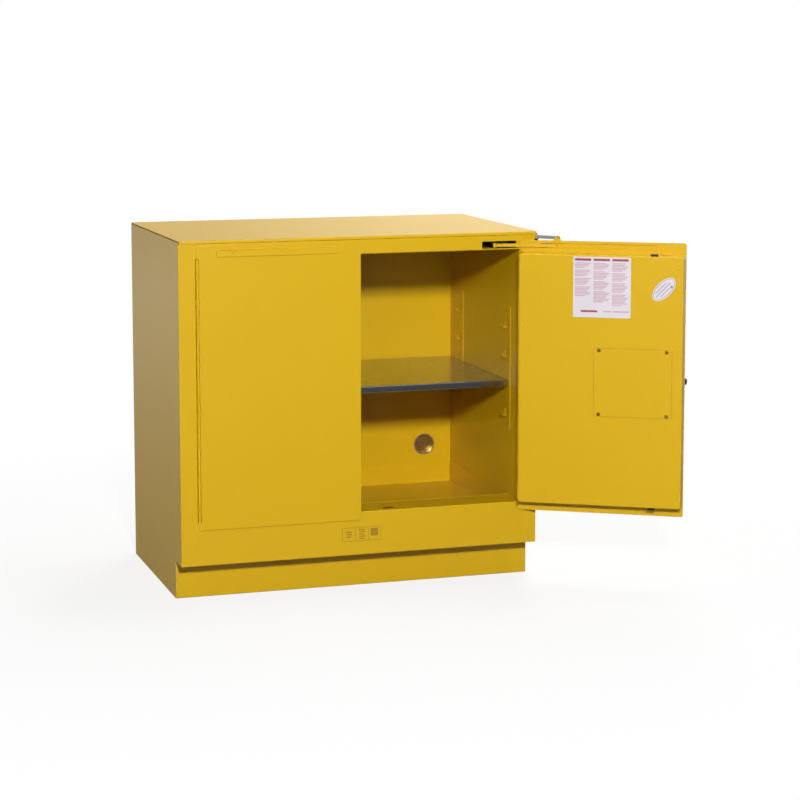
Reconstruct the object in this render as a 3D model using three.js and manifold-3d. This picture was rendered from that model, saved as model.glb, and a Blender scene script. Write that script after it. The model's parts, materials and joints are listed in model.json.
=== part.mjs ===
// An under-worktop safety cabinet for flammable liquids, in millimetres: a double-walled body, two doors on
// continuous hinges, a handle that throws a bolt up and a bolt down, closer arms in the header, and a sump.
// +X is to the right of someone facing the doors, -Y is the front, +Z is up. The origin is on the floor
// under the middle of the body. The left door is shut and the right one stands open.
import * as THREE from "three";
import { mergeVertices } from "three/addons/utils/BufferGeometryUtils.js";
import Module from "manifold-3d";

const wasm = await Module();
wasm.setup();

// Body, outside
const bodyWidth = 889;
const bodyDepth = 560;
const bodyHeight = 860;
const sheet = 1.2; // wall and liner sheet
const frameSheet = 1.5; // folded frame round the doorway
const bendRadius = 1.2; // inside radius of a fold
const seam = 0.3; // clearance between pieces that touch
const overrun = 4; // how far a cutter runs past what it cuts
const kickHeight = 91.5;
const kickSetback = 67;
const hemDepth = 15; // inward folds along the edges of a panel
const topFold = 7; // front and side folds of the top panel
const topGroove = 2.2; // joint between the top's folds and the sides
const topEdge = 1; // the top's plate over that joint
const topGap = 2.8; // open joint under the plate's edge

const halfWidth = bodyWidth / 2;
const frontY = -bodyDepth / 2;
const backY = bodyDepth / 2;
const wallInside = halfWidth - sheet - seam;
const railBackY = backY - sheet - seam;
const bottomTop = kickHeight + seam + sheet;
const behindFrame = frontY + frameSheet + seam;
const sideTop = bodyHeight - topEdge - topGap;

// Doorway
const sillRise = 104.8; // from the toe kick to the sill
const headerTall = 35.2; // face of the header rail
const frameReturn = 48; // how far the frame folds back into the cabinet
const sillDepth = 90;
const stileSquare = 5; // square corner of a stile's flat ends

const headerTop = bodyHeight - topFold - seam;
const sillHeight = kickHeight + sillRise;
const headHeight = headerTop - headerTall;

// Liner
const backSpace = 34.3; // between the back's outer face and the liner's inner face
const floorSpace = 53; // between the outer bottom and the sump's floor
const sumpLip = 3.7; // sides of the sump above the sill
const sillLift = 2.1; // gap under the fold at the back of the sill

const linerBack = backY - backSpace;
const linerFrontY = frontY + frameReturn + seam;
const sumpFloor = bottomTop + floorSpace;
const sumpRim = sillHeight + sumpLip;
const sillFoldEnd = sumpFloor + sheet + sillLift;

// Hinge line, and the doors hung on it
const frameWidth = 44.5; // from the body's side to the pin axis
const hingeProud = 3; // pin axis in front of the body's face
const openAngle = 148.7; // degrees
const pinRadius = 1.5;
const pinClearance = 0.3;
const knuckleRadius = 3.2;
const knuckleGap = 0.4;
const knuckleCount = 21;
const hingeEndGap = 0.7; // from the sill and the header
const leafSheet = 1.3;
const leafOffset = 1.5; // from the pin axis to the near face of a leaf
const leafDepth = 33;
const leafClearance = 4.3; // a leaf starts here beside the other leaf's knuckles

const hingeLine = halfWidth - frameWidth;
const hingeY = frontY - hingeProud;
const hingeBottom = sillHeight + hingeEndGap;
const hingeTop = headHeight - hingeEndGap;
const frameInside = hingeLine + leafOffset + leafSheet + seam; // face of a stile beside the doorway
const linerFace = frameInside;
const doorwayEdge = frameInside - seam;

// Doors
const doorUnderSill = 19.8; // skin below the sill
const doorOverHead = 23; // skin above the head of the doorway
const doorProud = 1; // outer face in front of the pin axis
const doorDepth = 38; // outer face to inner face
const skinStart = 4; // skin edge beside the hinge
const skinCorner = 2; // the corners reach past the pin axis, above and below the hinge
const skinRound = 5; // rounding of the free corners
const cornerSteps = 4;
const meetingPlace = 5; // free edge of the left skin, left of the middle
const meetingGap = 3.5; // between the two skins
const panInset = 1.5; // pan edge inside the skin edge
const panOverSill = 5.7;
const panUnderHead = 6.5;
const panRound = 3; // rounding of the pan's front edges
const panCorner = 6; // radius of its corners

const doorBottom = sillHeight - doorUnderSill;
const doorTop = headHeight + doorOverHead;
const leftSkinEdge = hingeLine - meetingPlace;
const rightSkinEdge = hingeLine + meetingPlace - meetingGap;
const skinInside = sheet - doorProud;
const panStart = leafOffset + leafSheet + seam;
const panFace = doorDepth - doorProud;
const panBottom = sillHeight + panOverSill;
const panTop = headHeight - panUnderHead;

// Closer: an arm on edge turns behind a slot in the header and runs in a track on the door. Distances along
// the header are from the pin axis.
const closerSlotStart = 11;
const closerSlotLength = 87;
const closerSlotLift = 3.5; // slot above the head of the doorway
const closerSlotTall = 17.5;
const closerShaftPlace = 62;
const closerShaftDepth = 8.5; // behind the body's face
const closerShaftRadius = 3;
const closerHubRadius = 5.5;
const closerHubHeight = 10;
const closerHubGap = 1.3; // hub to the body above it
const armLift = 7; // height of the arm above the slot's lower edge
const armHeight = 8;
const armThick = 2.4;
const armBendAcross = 24; // first bend, from the shaft towards the middle and to the front
const armBendForward = 10.5;
const armEndAcross = 148;
const armEndForward = 13.1;
const armRollerRadius = 1.5;
const armRollerHeight = 10.4;
const closerBlock = 30;
const closerBlockDepth = 24;
const closerBarrelRadius = 7.5;
const closerBarrelLength = 118;
const trackStart = 44.5; // along the door, from the pin axis
const trackEndPlace = 58; // far end of the track, from the middle of the body
const trackDrop = 7; // lower edge of the track below the arm's middle
const trackTall = 16;
const trackProud = 3.4;
const trackWall = 1;
const slotInStart = 2.5; // slot in the skin, inside the track's ends
const slotInEnd = 8;
const slotClearance = 0.5; // over and under the arm's roller
const trackNotch = 5; // dark notch in the track beside the link bracket

const closerSlotFar = hingeLine - closerSlotStart;
const closerSlotNear = closerSlotFar - closerSlotLength;
const closerSlotBottom = headHeight + closerSlotLift;
const closerSlotTop = closerSlotBottom + closerSlotTall;
const closerShaft = hingeLine - closerShaftPlace;
const closerY = frontY + closerShaftDepth;
const armMiddle = closerSlotBottom + armLift;
const closerBodyBottom = armMiddle + closerHubHeight / 2 + closerHubGap;
const trackEnd = hingeLine - trackEndPlace;
const trackBottom = armMiddle - trackDrop;
const trackTop = trackBottom + trackTall;
const trackSlotStart = trackStart + slotInStart;
const trackSlotEnd = trackEnd - slotInEnd;
const trackSlotHeight = armRollerHeight + 2 * slotClearance;

// Fusible link
const linkEye = 90; // along the door
const linkEyeLift = 7; // eye above the top of the door
const linkEyeReach = 6.5; // half a diagonal of the diamond
const linkEyeHole = 2.6;
const linkPlate = 1.5;
const linkFoot = 10; // half the width of the bracket's foot
const linkFootLap = 5.9; // foot below the top of the door
const linkStrip = 1.6;
const linkHeight = 8;
const linkPin = 1.6;
const linkTab = 6; // half the length of the tab on the eye
const linkLap = 22; // length over which the two halves are soldered
const linkPostInset = 4.5; // post inside the body's side
const linkPostForward = 5.5;
const linkPostRadius = 1.9;
const linkPostEar = 2;
const linkEarHalf = 4;
const linkEarDrop = 16;
const linkRingWall = 1;

const linkEyeHeight = doorTop + linkEyeLift;
const linkFootBottom = doorTop - linkFootLap;
const linkPostAcross = halfWidth - linkPostInset;

// Latch, on the right door
const latchInset = 72.5; // spindle, from the skin's free edge
const latchDrop = 4; // spindle below the middle of the door
const spindleRadius = 6;
const spindleClearance = 0.3;
const camRadius = 14;
const camThick = 4;
const camFront = 20; // behind the pin axis
const crankPin = 2.5;
const crankClearance = 0.5;
const boltThrow = 14;
const rodWidth = 18;
const rodThick = 6;
const rodMiddle = 31.5; // behind the pin axis
const rodClearance = 0.5;
const rodHeadWidth = 14.5; // slotted head beside the spindle
const rodHeadGap = 1;
const rodHeadOver = 7.5; // metal past the crank slot
const rodShoulder = 30.5; // where a rod's bar starts, from the spindle
const rodHeadLap = 10;
const boltRest = 5; // how far a drawn bolt stands out of the pan
const boltSlope = 2;
const bearingWidth = 60;
const bearingHeight = 80;
const bearingThick = 3;
const bushRadius = 11;
const roseThick = 4;
const roseRound = 8;
const leverReach = 74;
const leverHubRadius = 16;
const leverTall = 22;
const leverTipTall = 14;
const leverStand = 24; // back of the grip, from the pin axis
const leverThick = 14;
const leverNeck = 11;
const leverSocket = 12; // length of the spindle in the lever's neck
const lockRadius = 7;
const lockDepth = 15;
const lockSlotWide = 1.4;
const lockSlotTall = 8;
const lockSlotDeep = 3;
const coverNear = 142; // access cover on the inner pan, from the spindle towards the hinge
const coverFar = 45; // and towards the free edge
const coverTall = 165;
const coverSheet = 1.2;
const coverLap = 16; // cover past the window behind it
const coverRound = 4;

const latchAlong = rightSkinEdge - latchInset; // spindle, from the pin axis
const latchHeight = (doorBottom + doorTop) / 2 - latchDrop;
const crankArm = boltThrow / Math.SQRT2;
const crankDrop = boltThrow / 2;
const coverStart = latchAlong - coverNear;
const coverEnd = latchAlong + coverFar;
const coverBottom = latchHeight - coverTall / 2;
const coverTop = latchHeight + coverTall / 2;

// Strikes in the header and in the sill
const strikeWidth = 29;
const strikeDepth = 22;

// Shelf and its standards
const standardLift = 10.6; // middle of the standards above the middle of the doorway
const standardLength = 303;
const standardSheet = 1.5;
const standardHalf = 28; // half the width of a standard
const tabCount = 4;
const tabInset = 29.6; // lowest tab above the end of the standard
const tabTopInset = 53.2; // highest tab below its other end
const tabReach = 9.5;
const tabWidth = 14;
const tabHook = 7;
const tabWindow = 15;
const shelfTab = 1; // the shelf rests on the tabs of this row, counted from the lowest
const shelfLip = 16.7;
const shelfSetback = 79; // from the body's face
const shelfBackGap = 7.7; // to the back liner
const shelfReturn = 10;
const shelfGap = 1; // shelf end to standard
const frontStandardInset = 19; // middle of a standard, from the shelf's front edge
const rearStandardInset = 70; // and from its back edge

const standardFace = linerFace - seam - standardSheet;
const standardBottom = (sillHeight + headHeight) / 2 + standardLift - standardLength / 2;
const standardTop = standardBottom + standardLength;
const lowestTab = standardBottom + tabInset;
const tabPitch = (standardLength - tabInset - tabTopInset) / (tabCount - 1);
const shelfTop = lowestTab + shelfTab * tabPitch + seam + shelfLip;
const shelfFront = frontY + shelfSetback;
const shelfBack = linerBack - shelfBackGap;
const standardPlaces = [shelfFront + frontStandardInset, shelfBack - rearStandardInset];

// Feet and the base
const footInset = 39.5; // from the body's side
const footFromKick = 45;
const footFromRail = 46.5;
const footRadius = 19;
const footPad = 7;
const footNeck = 4;
const studRadius = 5;
const studTop = 70;
const gussetHeight = 30;
const gussetSheet = 2.5;
const gussetWidth = 60;
const gussetDepth = 66;
const nutRadius = 9;
const nutHeight = 8;
const kickFold = 18;

const footAcross = halfWidth - footInset;
const footFront = frontY + kickSetback + footFromKick;
const footBack = railBackY - footFromRail;

// Vents and earthing screw, in the back
const ventInset = 73.1; // from the side liner
const ventUnderHead = 47.5;
const ventOverRim = 50;
const ventBore = 25;
const ventWall = 3;
const ventFlange = 40;
const ventFlangeThick = 3;
const arresterDepth = 16.3; // behind the liner's inner face
const arresterThick = 3;
const arresterHole = 2.6;
const arresterPitch = 8;
const bungLength = 14;
const bungHead = 10;
const bungHeadRadius = 31;
const bungRecess = 12;
const bungRecessDepth = 6;
const earthInset = 64.5; // from the body's side
const earthDrop = 31.5; // below the outer bottom
const earthShank = 3;
const earthHead = 6.5;
const earthHeadThick = 5;
const earthWasher = 8;
const earthWasherThick = 1.6;
const earthShankLength = 9;

const ventAcross = linerFace - ventInset;
const ventPlaces = [
  [-ventAcross, headHeight - ventUnderHead],
  [ventAcross, sumpRim + ventOverRim],
];
const arresterPlace = linerBack + arresterDepth;
const earthAcross = halfWidth - earthInset;
const earthHeight = kickHeight - earthDrop;

// Smoothness of round parts
const bendSteps = 2;
const knuckleSides = 10;
const roundSides = 24;
const smallSides = 12;
const hexSides = 6;
const endShare = 0.98; // radius of a rounded end, of half its height

const yellowPaint = { color: 0xdeb52c, roughness: 0.38, metalness: 0 };
const galvanised = { color: 0xa9adb0, roughness: 0.35, metalness: 0.9 };
const zincPlate = { color: 0xb9bcc0, roughness: 0.3, metalness: 0.9 };
const blackPlastic = { color: 0x1c1c1e, roughness: 0.5, metalness: 0 };
const brass = { color: 0xb48f48, roughness: 0.35, metalness: 0.9 };
const chromePlate = { color: 0xd0d2d4, roughness: 0.15, metalness: 1 };

// Solids

function signedVolume(geometry) {
  const place = geometry.attributes.position;
  const corners = [new THREE.Vector3(), new THREE.Vector3(), new THREE.Vector3()];
  let sum = 0;
  for (let i = 0; i < geometry.index.count; i += corners.length) {
    corners.forEach((corner, k) => corner.fromBufferAttribute(place, geometry.index.getX(i + k)));
    sum += corners[0].dot(corners[1].cross(corners[2]));
  }
  return sum;
}

// Merges the corners, drops faces of no area and turns the faces outwards.
function closed(geometry) {
  geometry.deleteAttribute("normal");
  geometry.deleteAttribute("uv");
  const merged = mergeVertices(geometry);
  const faces = [];
  for (let i = 0; i < merged.index.count; i += 3) {
    const face = [merged.index.getX(i), merged.index.getX(i + 1), merged.index.getX(i + 2)];
    if (new Set(face).size === face.length) {
      faces.push(face);
    }
  }
  merged.setIndex(faces.flat());
  if (signedVolume(merged) < 0) {
    merged.setIndex(faces.flatMap(([first, second, third]) => [first, third, second]));
  }
  return merged;
}

function toSolid(geometry) {
  const mesh = new wasm.Mesh({
    numProp: 3,
    vertProperties: new Float32Array(geometry.attributes.position.array),
    triVerts: new Uint32Array(geometry.index.array),
  });
  return new wasm.Manifold(mesh);
}

function toGeometry(solid) {
  const mesh = solid.getMesh();
  const geometry = new THREE.BufferGeometry();
  geometry.setAttribute("position", new THREE.BufferAttribute(mesh.vertProperties, mesh.numProp));
  geometry.setIndex(new THREE.BufferAttribute(mesh.triVerts, 1));
  return geometry;
}

function join(...pieces) {
  return toGeometry(pieces.map(toSolid).reduce((whole, piece) => whole.add(piece)));
}

function cut(piece, ...cutters) {
  return toGeometry(cutters.map(toSolid).reduce((whole, cutter) => whole.subtract(cutter), toSolid(piece)));
}

function mirrored(geometry) {
  return closed(geometry.clone().scale(-1, 1, 1));
}

function slab(x0, x1, y0, y1, z0, z1) {
  const box = new THREE.BoxGeometry(x1 - x0, y1 - y0, z1 - z0);
  return closed(box.translate((x0 + x1) / 2, (y0 + y1) / 2, (z0 + z1) / 2));
}

const unitX = new THREE.Vector3(1, 0, 0);
const unitY = new THREE.Vector3(0, 1, 0);
const unitZ = new THREE.Vector3(0, 0, 1);

// A shape drawn in (y, z) and drawn out along x.
function alongX(shape, x0, x1) {
  const solid = new THREE.ExtrudeGeometry(shape, { depth: x1 - x0, bevelEnabled: false });
  solid.applyMatrix4(new THREE.Matrix4().makeBasis(unitY, unitZ, unitX));
  return closed(solid.translate(x0, 0, 0));
}

// A shape drawn in (x, z) and drawn out along y.
function alongY(shape, y0, y1, options = {}) {
  const settings = { depth: y1 - y0, bevelEnabled: false, curveSegments: smallSides / 4, ...options };
  const solid = new THREE.ExtrudeGeometry(shape, settings);
  solid.applyMatrix4(new THREE.Matrix4().makeBasis(unitX, unitZ, unitY.clone().negate()));
  return closed(solid.translate(0, y1, 0));
}

// A shape drawn in (x, y) and drawn out along z.
function alongZ(shape, z0, z1) {
  const solid = new THREE.ExtrudeGeometry(shape, { depth: z1 - z0, bevelEnabled: false });
  return closed(solid.translate(0, 0, z0));
}

function roundAlongY(x, z, radius, y0, y1, sides = smallSides) {
  const rod = new THREE.CylinderGeometry(radius, radius, y1 - y0, sides);
  return closed(rod.translate(x, (y0 + y1) / 2, z));
}

function roundAlongZ(x, y, radius, z0, z1, sides = smallSides) {
  const rod = new THREE.CylinderGeometry(radius, radius, z1 - z0, sides).rotateX(Math.PI / 2);
  return closed(rod.translate(x, y, (z0 + z1) / 2));
}

function roundAlongX(y, z, radius, x0, x1, sides = smallSides) {
  const rod = new THREE.CylinderGeometry(radius, radius, x1 - x0, sides).rotateZ(Math.PI / 2);
  return closed(rod.translate((x0 + x1) / 2, y, z));
}

// A turned part: a profile of (radius, y) about the y axis.
function turned(profile, sides = roundSides) {
  return closed(new THREE.LatheGeometry(profile.map(([radius, y]) => new THREE.Vector2(radius, y)), sides));
}

function outline(points) {
  return new THREE.Shape(points.map(([x, y]) => new THREE.Vector2(x, y)));
}

// The rounding of a square corner. The outline comes in along one side and leaves along the other, and both
// directions point away from the corner.
function cornerArc([x, y], [inX, inY], [outX, outY], radius) {
  const points = [];
  for (let step = 0; step <= cornerSteps; step += 1) {
    const turn = Math.PI / 2 * step / cornerSteps;
    const along = radius * (1 - Math.sin(turn));
    const away = radius * (1 - Math.cos(turn));
    points.push([x + inX * along + outX * away, y + inY * along + outY * away]);
  }
  return points;
}

function roundedRectangle(x0, x1, y0, y1, radius) {
  const shape = new THREE.Shape();
  const quarter = Math.PI / 2;
  shape.absarc(x1 - radius, y1 - radius, radius, 0, quarter);
  shape.absarc(x0 + radius, y1 - radius, radius, quarter, 2 * quarter);
  shape.absarc(x0 + radius, y0 + radius, radius, 2 * quarter, 3 * quarter);
  shape.absarc(x1 - radius, y0 + radius, radius, 3 * quarter, 4 * quarter);
  return shape;
}

// The section of a folded sheet. The corners are joined by a line with round bends, and the metal lies
// between two offsets of that line, measured to its left.
function folded(corners, fromOffset, toOffset) {
  const line = corners.map(([x, y]) => new THREE.Vector2(x, y));
  const nearSide = [];
  const farSide = [];
  line.forEach((corner, i) => {
    const before = i > 0 ? corner.clone().sub(line[i - 1]).normalize() : null;
    const after = i < line.length - 1 ? line[i + 1].clone().sub(corner).normalize() : null;
    if (!before || !after) {
      const across = (before || after).clone().rotateAround(new THREE.Vector2(), Math.PI / 2);
      nearSide.push(corner.clone().addScaledVector(across, fromOffset));
      farSide.push(corner.clone().addScaledVector(across, toOffset));
      return;
    }
    const turn = Math.atan2(before.cross(after), before.dot(after));
    const hand = Math.sign(turn);
    const lineRadius = bendRadius + Math.max(hand * fromOffset, hand * toOffset);
    const inward = before.clone().rotateAround(new THREE.Vector2(), hand * Math.PI / 2);
    const centre = corner.clone().addScaledVector(before, -lineRadius * Math.tan(Math.abs(turn) / 2));
    centre.addScaledVector(inward, lineRadius);
    for (let step = 0; step <= bendSteps; step += 1) {
      const spoke = inward.clone().negate().rotateAround(new THREE.Vector2(), turn * step / bendSteps);
      nearSide.push(centre.clone().addScaledVector(spoke, lineRadius - hand * fromOffset));
      farSide.push(centre.clone().addScaledVector(spoke, lineRadius - hand * toOffset));
    }
  });
  return new THREE.Shape([...nearSide, ...farSide.reverse()]);
}

// Outer body

function sidePanel() {
  const notchY = frontY + kickSetback;
  const wall = outline([
    [behindFrame, sideTop],
    [behindFrame, kickHeight],
    [notchY, kickHeight],
    [notchY, 0],
    [backY, 0],
    [backY, sideTop],
  ]);
  const inner = halfWidth - hemDepth;
  return join(
    alongX(wall, halfWidth - sheet, halfWidth),
    slab(inner, halfWidth, notchY + kickFold + seam, railBackY - kickFold - seam, 0, sheet),
    slab(inner, halfWidth, behindFrame, behindFrame + sheet, bottomTop + seam, headerTop),
  );
}

function topPanel() {
  const reach = halfWidth - sheet - topGroove;
  const fold = [
    [frontY, bodyHeight - topFold],
    [frontY, bodyHeight],
    [backY - sheet - seam, bodyHeight],
  ];
  const skirtY = behindFrame + sheet + seam;
  const skirt = (x0) => slab(x0, x0 + sheet, skirtY, backY - sheet - seam, bodyHeight - topFold, bodyHeight);
  const plate = alongX(folded(fold, -sheet, 0), -halfWidth, halfWidth);
  const low = bodyHeight - topFold - overrun;
  const groove = (x0, x1) => slab(x0, x1, frontY - overrun, backY, low, bodyHeight - topEdge);
  return cut(
    join(plate, skirt(reach - sheet), skirt(-reach)),
    groove(reach, halfWidth + overrun),
    groove(-halfWidth - overrun, -reach),
  );
}

function backPanel() {
  const wall = slab(-wallInside, wallInside, backY - sheet, backY, 0, bodyHeight - seam);
  return cut(
    wall,
    ...ventPlaces.map(([x, z]) => ventHole(x, z, backY - sheet)),
    earthHole(),
  );
}

function bottomPanel() {
  return slab(-wallInside, wallInside, behindFrame, railBackY, bottomTop - sheet, bottomTop);
}

// A base rail is a channel with a nut plate at each end, which carries the foot's stud.
function baseRail(faceY, inward, footY, ...holes) {
  const end = faceY + inward * kickFold;
  const corners = [
    [end, 0],
    [faceY, 0],
    [faceY, kickHeight],
    [end, kickHeight],
  ];
  const gussets = [-footAcross, footAcross].flatMap((x) => [
    slab(
      x - gussetWidth / 2,
      x + gussetWidth / 2,
      Math.min(faceY + inward * sheet / 2, faceY + inward * gussetDepth),
      Math.max(faceY + inward * sheet / 2, faceY + inward * gussetDepth),
      gussetHeight,
      gussetHeight + gussetSheet,
    ),
    roundAlongZ(x, footY, nutRadius, gussetHeight, gussetHeight + gussetSheet + nutHeight, hexSides),
  ]);
  const channel = alongX(folded(corners, 0, -inward * sheet), -wallInside, wallInside);
  const bores = [-footAcross, footAcross].map((x) =>
    roundAlongZ(x, footY, studRadius + seam, -overrun, studTop + overrun),
  );
  return cut(join(channel, ...gussets), ...bores, ...holes);
}

function earthHole() {
  return roundAlongY(-earthAcross, earthHeight, earthShank + seam, railBackY - overrun, backY + overrun);
}

// A stile is folded back beside the doorway, and flat above and below it, where the rails meet it.
function stile() {
  const corners = [
    [halfWidth, frontY],
    [frameInside, frontY],
    [frameInside, frontY + frameReturn],
  ];
  const post = alongZ(folded(corners, 0, -frameSheet), kickHeight, headerTop);
  const back = frontY + frameSheet;
  const square = (z0, z1) => slab(frameInside, frameInside + stileSquare, frontY, back, z0, z1);
  const flat = (z0, z1) => slab(0, bodyWidth, back, backY, z0, z1);
  return cut(
    join(post, square(kickHeight, sillHeight), square(headHeight, headerTop)),
    flat(kickHeight - overrun, sillHeight),
    flat(headHeight, headerTop + overrun),
  );
}

function closerSlot(side) {
  const [x0, x1] = side > 0 ? [closerSlotNear, closerSlotFar] : [-closerSlotFar, -closerSlotNear];
  return slab(x0, x1, frontY - overrun, frontY + frameSheet + overrun / 2, closerSlotBottom, closerSlotTop);
}

function strikeHole(z) {
  const x = hingeLine - latchAlong;
  const y = hingeY + rodMiddle;
  const halfX = strikeWidth / 2;
  const halfY = strikeDepth / 2;
  return slab(x - halfX, x + halfX, y - halfY, y + halfY, z - overrun / 2, z + overrun / 2);
}

function headerRail() {
  const corners = [
    [frontY + frameReturn, headHeight],
    [frontY, headHeight],
    [frontY, headerTop],
    [frontY + frameReturn / 2, headerTop],
  ];
  const rail = alongX(folded(corners, 0, -frameSheet), -doorwayEdge, doorwayEdge);
  return cut(rail, closerSlot(1), closerSlot(-1), strikeHole(headHeight));
}

function bottomRail() {
  const corners = [
    [frontY, kickHeight],
    [frontY, sillHeight],
    [frontY + sillDepth, sillHeight],
    [frontY + sillDepth, sillFoldEnd],
  ];
  const rail = alongX(folded(corners, 0, -frameSheet), -doorwayEdge, doorwayEdge);
  return cut(rail, strikeHole(sillHeight));
}

// Liner

function sideLiner() {
  return slab(linerFace, linerFace + sheet, linerFrontY, linerBack - seam, sumpFloor, headHeight + sheet);
}

function backLiner() {
  const reach = linerFace + sheet;
  const wall = slab(-reach, reach, linerBack, linerBack + sheet, sumpFloor, headHeight + sheet);
  return cut(wall, ...ventPlaces.map(([x, z]) => ventHole(x, z, linerBack)));
}

function ceiling() {
  const reach = linerFace - seam;
  return slab(-reach, reach, linerFrontY, linerBack - seam, headHeight, headHeight + sheet);
}

function sumpPan() {
  const reach = linerFace - seam;
  const y0 = frontY + sillDepth + seam;
  const y1 = linerBack - seam;
  const pan = slab(-reach, reach, y0, y1, sumpFloor, sumpRim);
  const inside = reach - sheet;
  const high = sumpRim + overrun;
  const hollow = slab(-inside, inside, y0 + sheet, y1 - sheet, sumpFloor + sheet, high);
  const frontCut = slab(-inside, inside, y0 - overrun, y0 + sheet + overrun, sillHeight, high);
  return cut(pan, hollow, frontCut);
}

// A standard is a strip with tabs lanced out of it: each tab is folded inwards and hooked up at its end.
function standard(y) {
  const x1 = standardFace + standardSheet;
  const strip = slab(standardFace, x1, y - standardHalf, y + standardHalf, standardBottom, standardTop);
  const tabs = [];
  const windows = [];
  for (let i = 0; i < tabCount; i += 1) {
    const z = lowestTab + i * tabPitch;
    const corners = [
      [x1, z],
      [standardFace - tabReach, z],
      [standardFace - tabReach, z + tabHook],
    ];
    const tab = alongY(folded(corners, 0, standardSheet), y - tabWidth / 2, y + tabWidth / 2);
    tabs.push(tab);
    windows.push(slab(
      standardFace - seam,
      x1 + overrun,
      y - tabWidth / 2,
      y + tabWidth / 2,
      z + standardSheet / 2,
      z + tabWindow,
    ));
  }
  return cut(join(strip, ...tabs), ...windows);
}

function shelf() {
  const reach = standardFace - shelfGap;
  const z0 = shelfTop - shelfLip;
  const corners = [
    [shelfFront + shelfReturn, z0],
    [shelfFront, z0],
    [shelfFront, shelfTop],
    [shelfBack, shelfTop],
    [shelfBack, z0],
  ];
  const deck = alongX(folded(corners, 0, -sheet), -reach, reach);
  const y0 = shelfFront + shelfReturn + seam;
  const y1 = shelfBack - bendRadius - 2 * sheet;
  const end = (x0) => slab(x0, x0 + sheet, y0, y1, z0, shelfTop - sheet / 2);
  return join(deck, end(sheet - reach), end(reach - 2 * sheet));
}

// Continuous hinge: the leaves lie face to face behind the pin. x runs from the pin towards the door.

function knuckleSpan(i) {
  const pitch = (hingeTop - hingeBottom) / knuckleCount;
  const start = hingeBottom + i * pitch;
  return [start + knuckleGap / 2, start + pitch - knuckleGap / 2];
}

function hingeLeaf(hand, parity) {
  const x0 = hand > 0 ? leafOffset : -leafOffset - leafSheet;
  const x1 = x0 + leafSheet;
  const pieces = [slab(x0, x1, leafClearance, leafDepth, hingeBottom, hingeTop)];
  for (let i = parity; i < knuckleCount; i += 2) {
    const [z0, z1] = knuckleSpan(i);
    pieces.push(roundAlongZ(0, 0, knuckleRadius, z0, z1, knuckleSides));
    pieces.push(slab(x0, x1, 0, leafClearance + leafSheet, z0, z1));
  }
  const boreRadius = pinRadius + pinClearance;
  const bore = roundAlongZ(0, 0, boreRadius, hingeBottom - overrun, hingeTop + overrun, knuckleSides);
  return cut(join(...pieces), bore);
}

function hingePin() {
  return roundAlongZ(0, 0, pinRadius, hingeBottom, hingeTop, knuckleSides);
}

// Doors: x runs from the pin axis to the free edge, y from the pin axis into the cabinet.

function trackSlot() {
  const half = trackSlotHeight / 2;
  return roundedRectangle(trackSlotStart, trackSlotEnd, armMiddle - half, armMiddle + half, half * endShare);
}

function doorSkin(edge) {
  const low = hingeBottom - seam;
  const high = hingeTop + seam;
  const shape = outline([
    [-skinCorner, doorBottom],
    ...cornerArc([edge, doorBottom], [-1, 0], [0, 1], skinRound),
    ...cornerArc([edge, doorTop], [0, -1], [-1, 0], skinRound),
    [-skinCorner, doorTop],
    [-skinCorner, high],
    [skinStart, high],
    [skinStart, low],
    [-skinCorner, low],
  ]);
  shape.holes.push(trackSlot());
  return alongY(shape, -doorProud, skinInside);
}

function doorPan(edge) {
  const x1 = edge - panInset;
  const block = (inset) => {
    const round = Math.max(panRound - inset, seam);
    const corner = Math.max(panCorner - inset, round + seam);
    const shape = roundedRectangle(panStart + inset, x1 - inset, panBottom + inset, panTop - inset, corner);
    const bevel = {
      bevelEnabled: true,
      bevelSegments: bendSteps,
      bevelThickness: round,
      bevelSize: round,
      bevelOffset: -round,
    };
    return alongY(shape, -overrun, panFace - inset - round, bevel);
  };
  const front = skinInside + seam;
  const low = panBottom - overrun;
  const high = panTop + overrun;
  const ends = slab(-overrun, edge + overrun, -doorDepth, front, low, high);
  const knuckles = roundAlongZ(0, 0, knuckleRadius + seam, low, high, roundSides);
  return cut(block(0), ends, knuckles, block(sheet));
}

function track() {
  const back = -doorProud - seam;
  const front = -doorProud - trackProud;
  const round = (trackTop - trackBottom) / 2;
  const outer = roundedRectangle(trackStart, trackEnd, trackBottom, trackTop, round * endShare);
  const shell = alongY(outer, front, back);
  const inner = roundedRectangle(
    trackStart + trackWall,
    trackEnd - trackWall,
    trackBottom + trackWall,
    trackTop - trackWall,
    (round - trackWall) * endShare,
  );
  const hollow = alongY(inner, front + trackWall, back + overrun);
  const middle = (trackBottom + trackTop) / 2;
  const notch = roundAlongY(linkEye - linkFoot / 2, middle, trackNotch / 2, front - overrun, back, hexSides);
  return cut(shell, hollow, notch);
}

function linkBracket() {
  const y0 = skinInside + seam;
  const shape = outline([
    [linkEye - linkFoot, linkFootBottom],
    [linkEye + linkFoot, linkFootBottom],
    [linkEye + linkFoot, doorTop],
    [linkEye + linkEyeReach, linkEyeHeight],
    [linkEye, linkEyeHeight + linkEyeReach],
    [linkEye - linkEyeReach, linkEyeHeight],
    [linkEye - linkFoot, doorTop],
  ]);
  const y1 = y0 + linkPlate;
  const hole = roundAlongY(linkEye, linkEyeHeight, linkEyeHole, y0 - overrun, y1 + overrun);
  return cut(alongY(shape, y0, y1), hole);
}

// Closer

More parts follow.
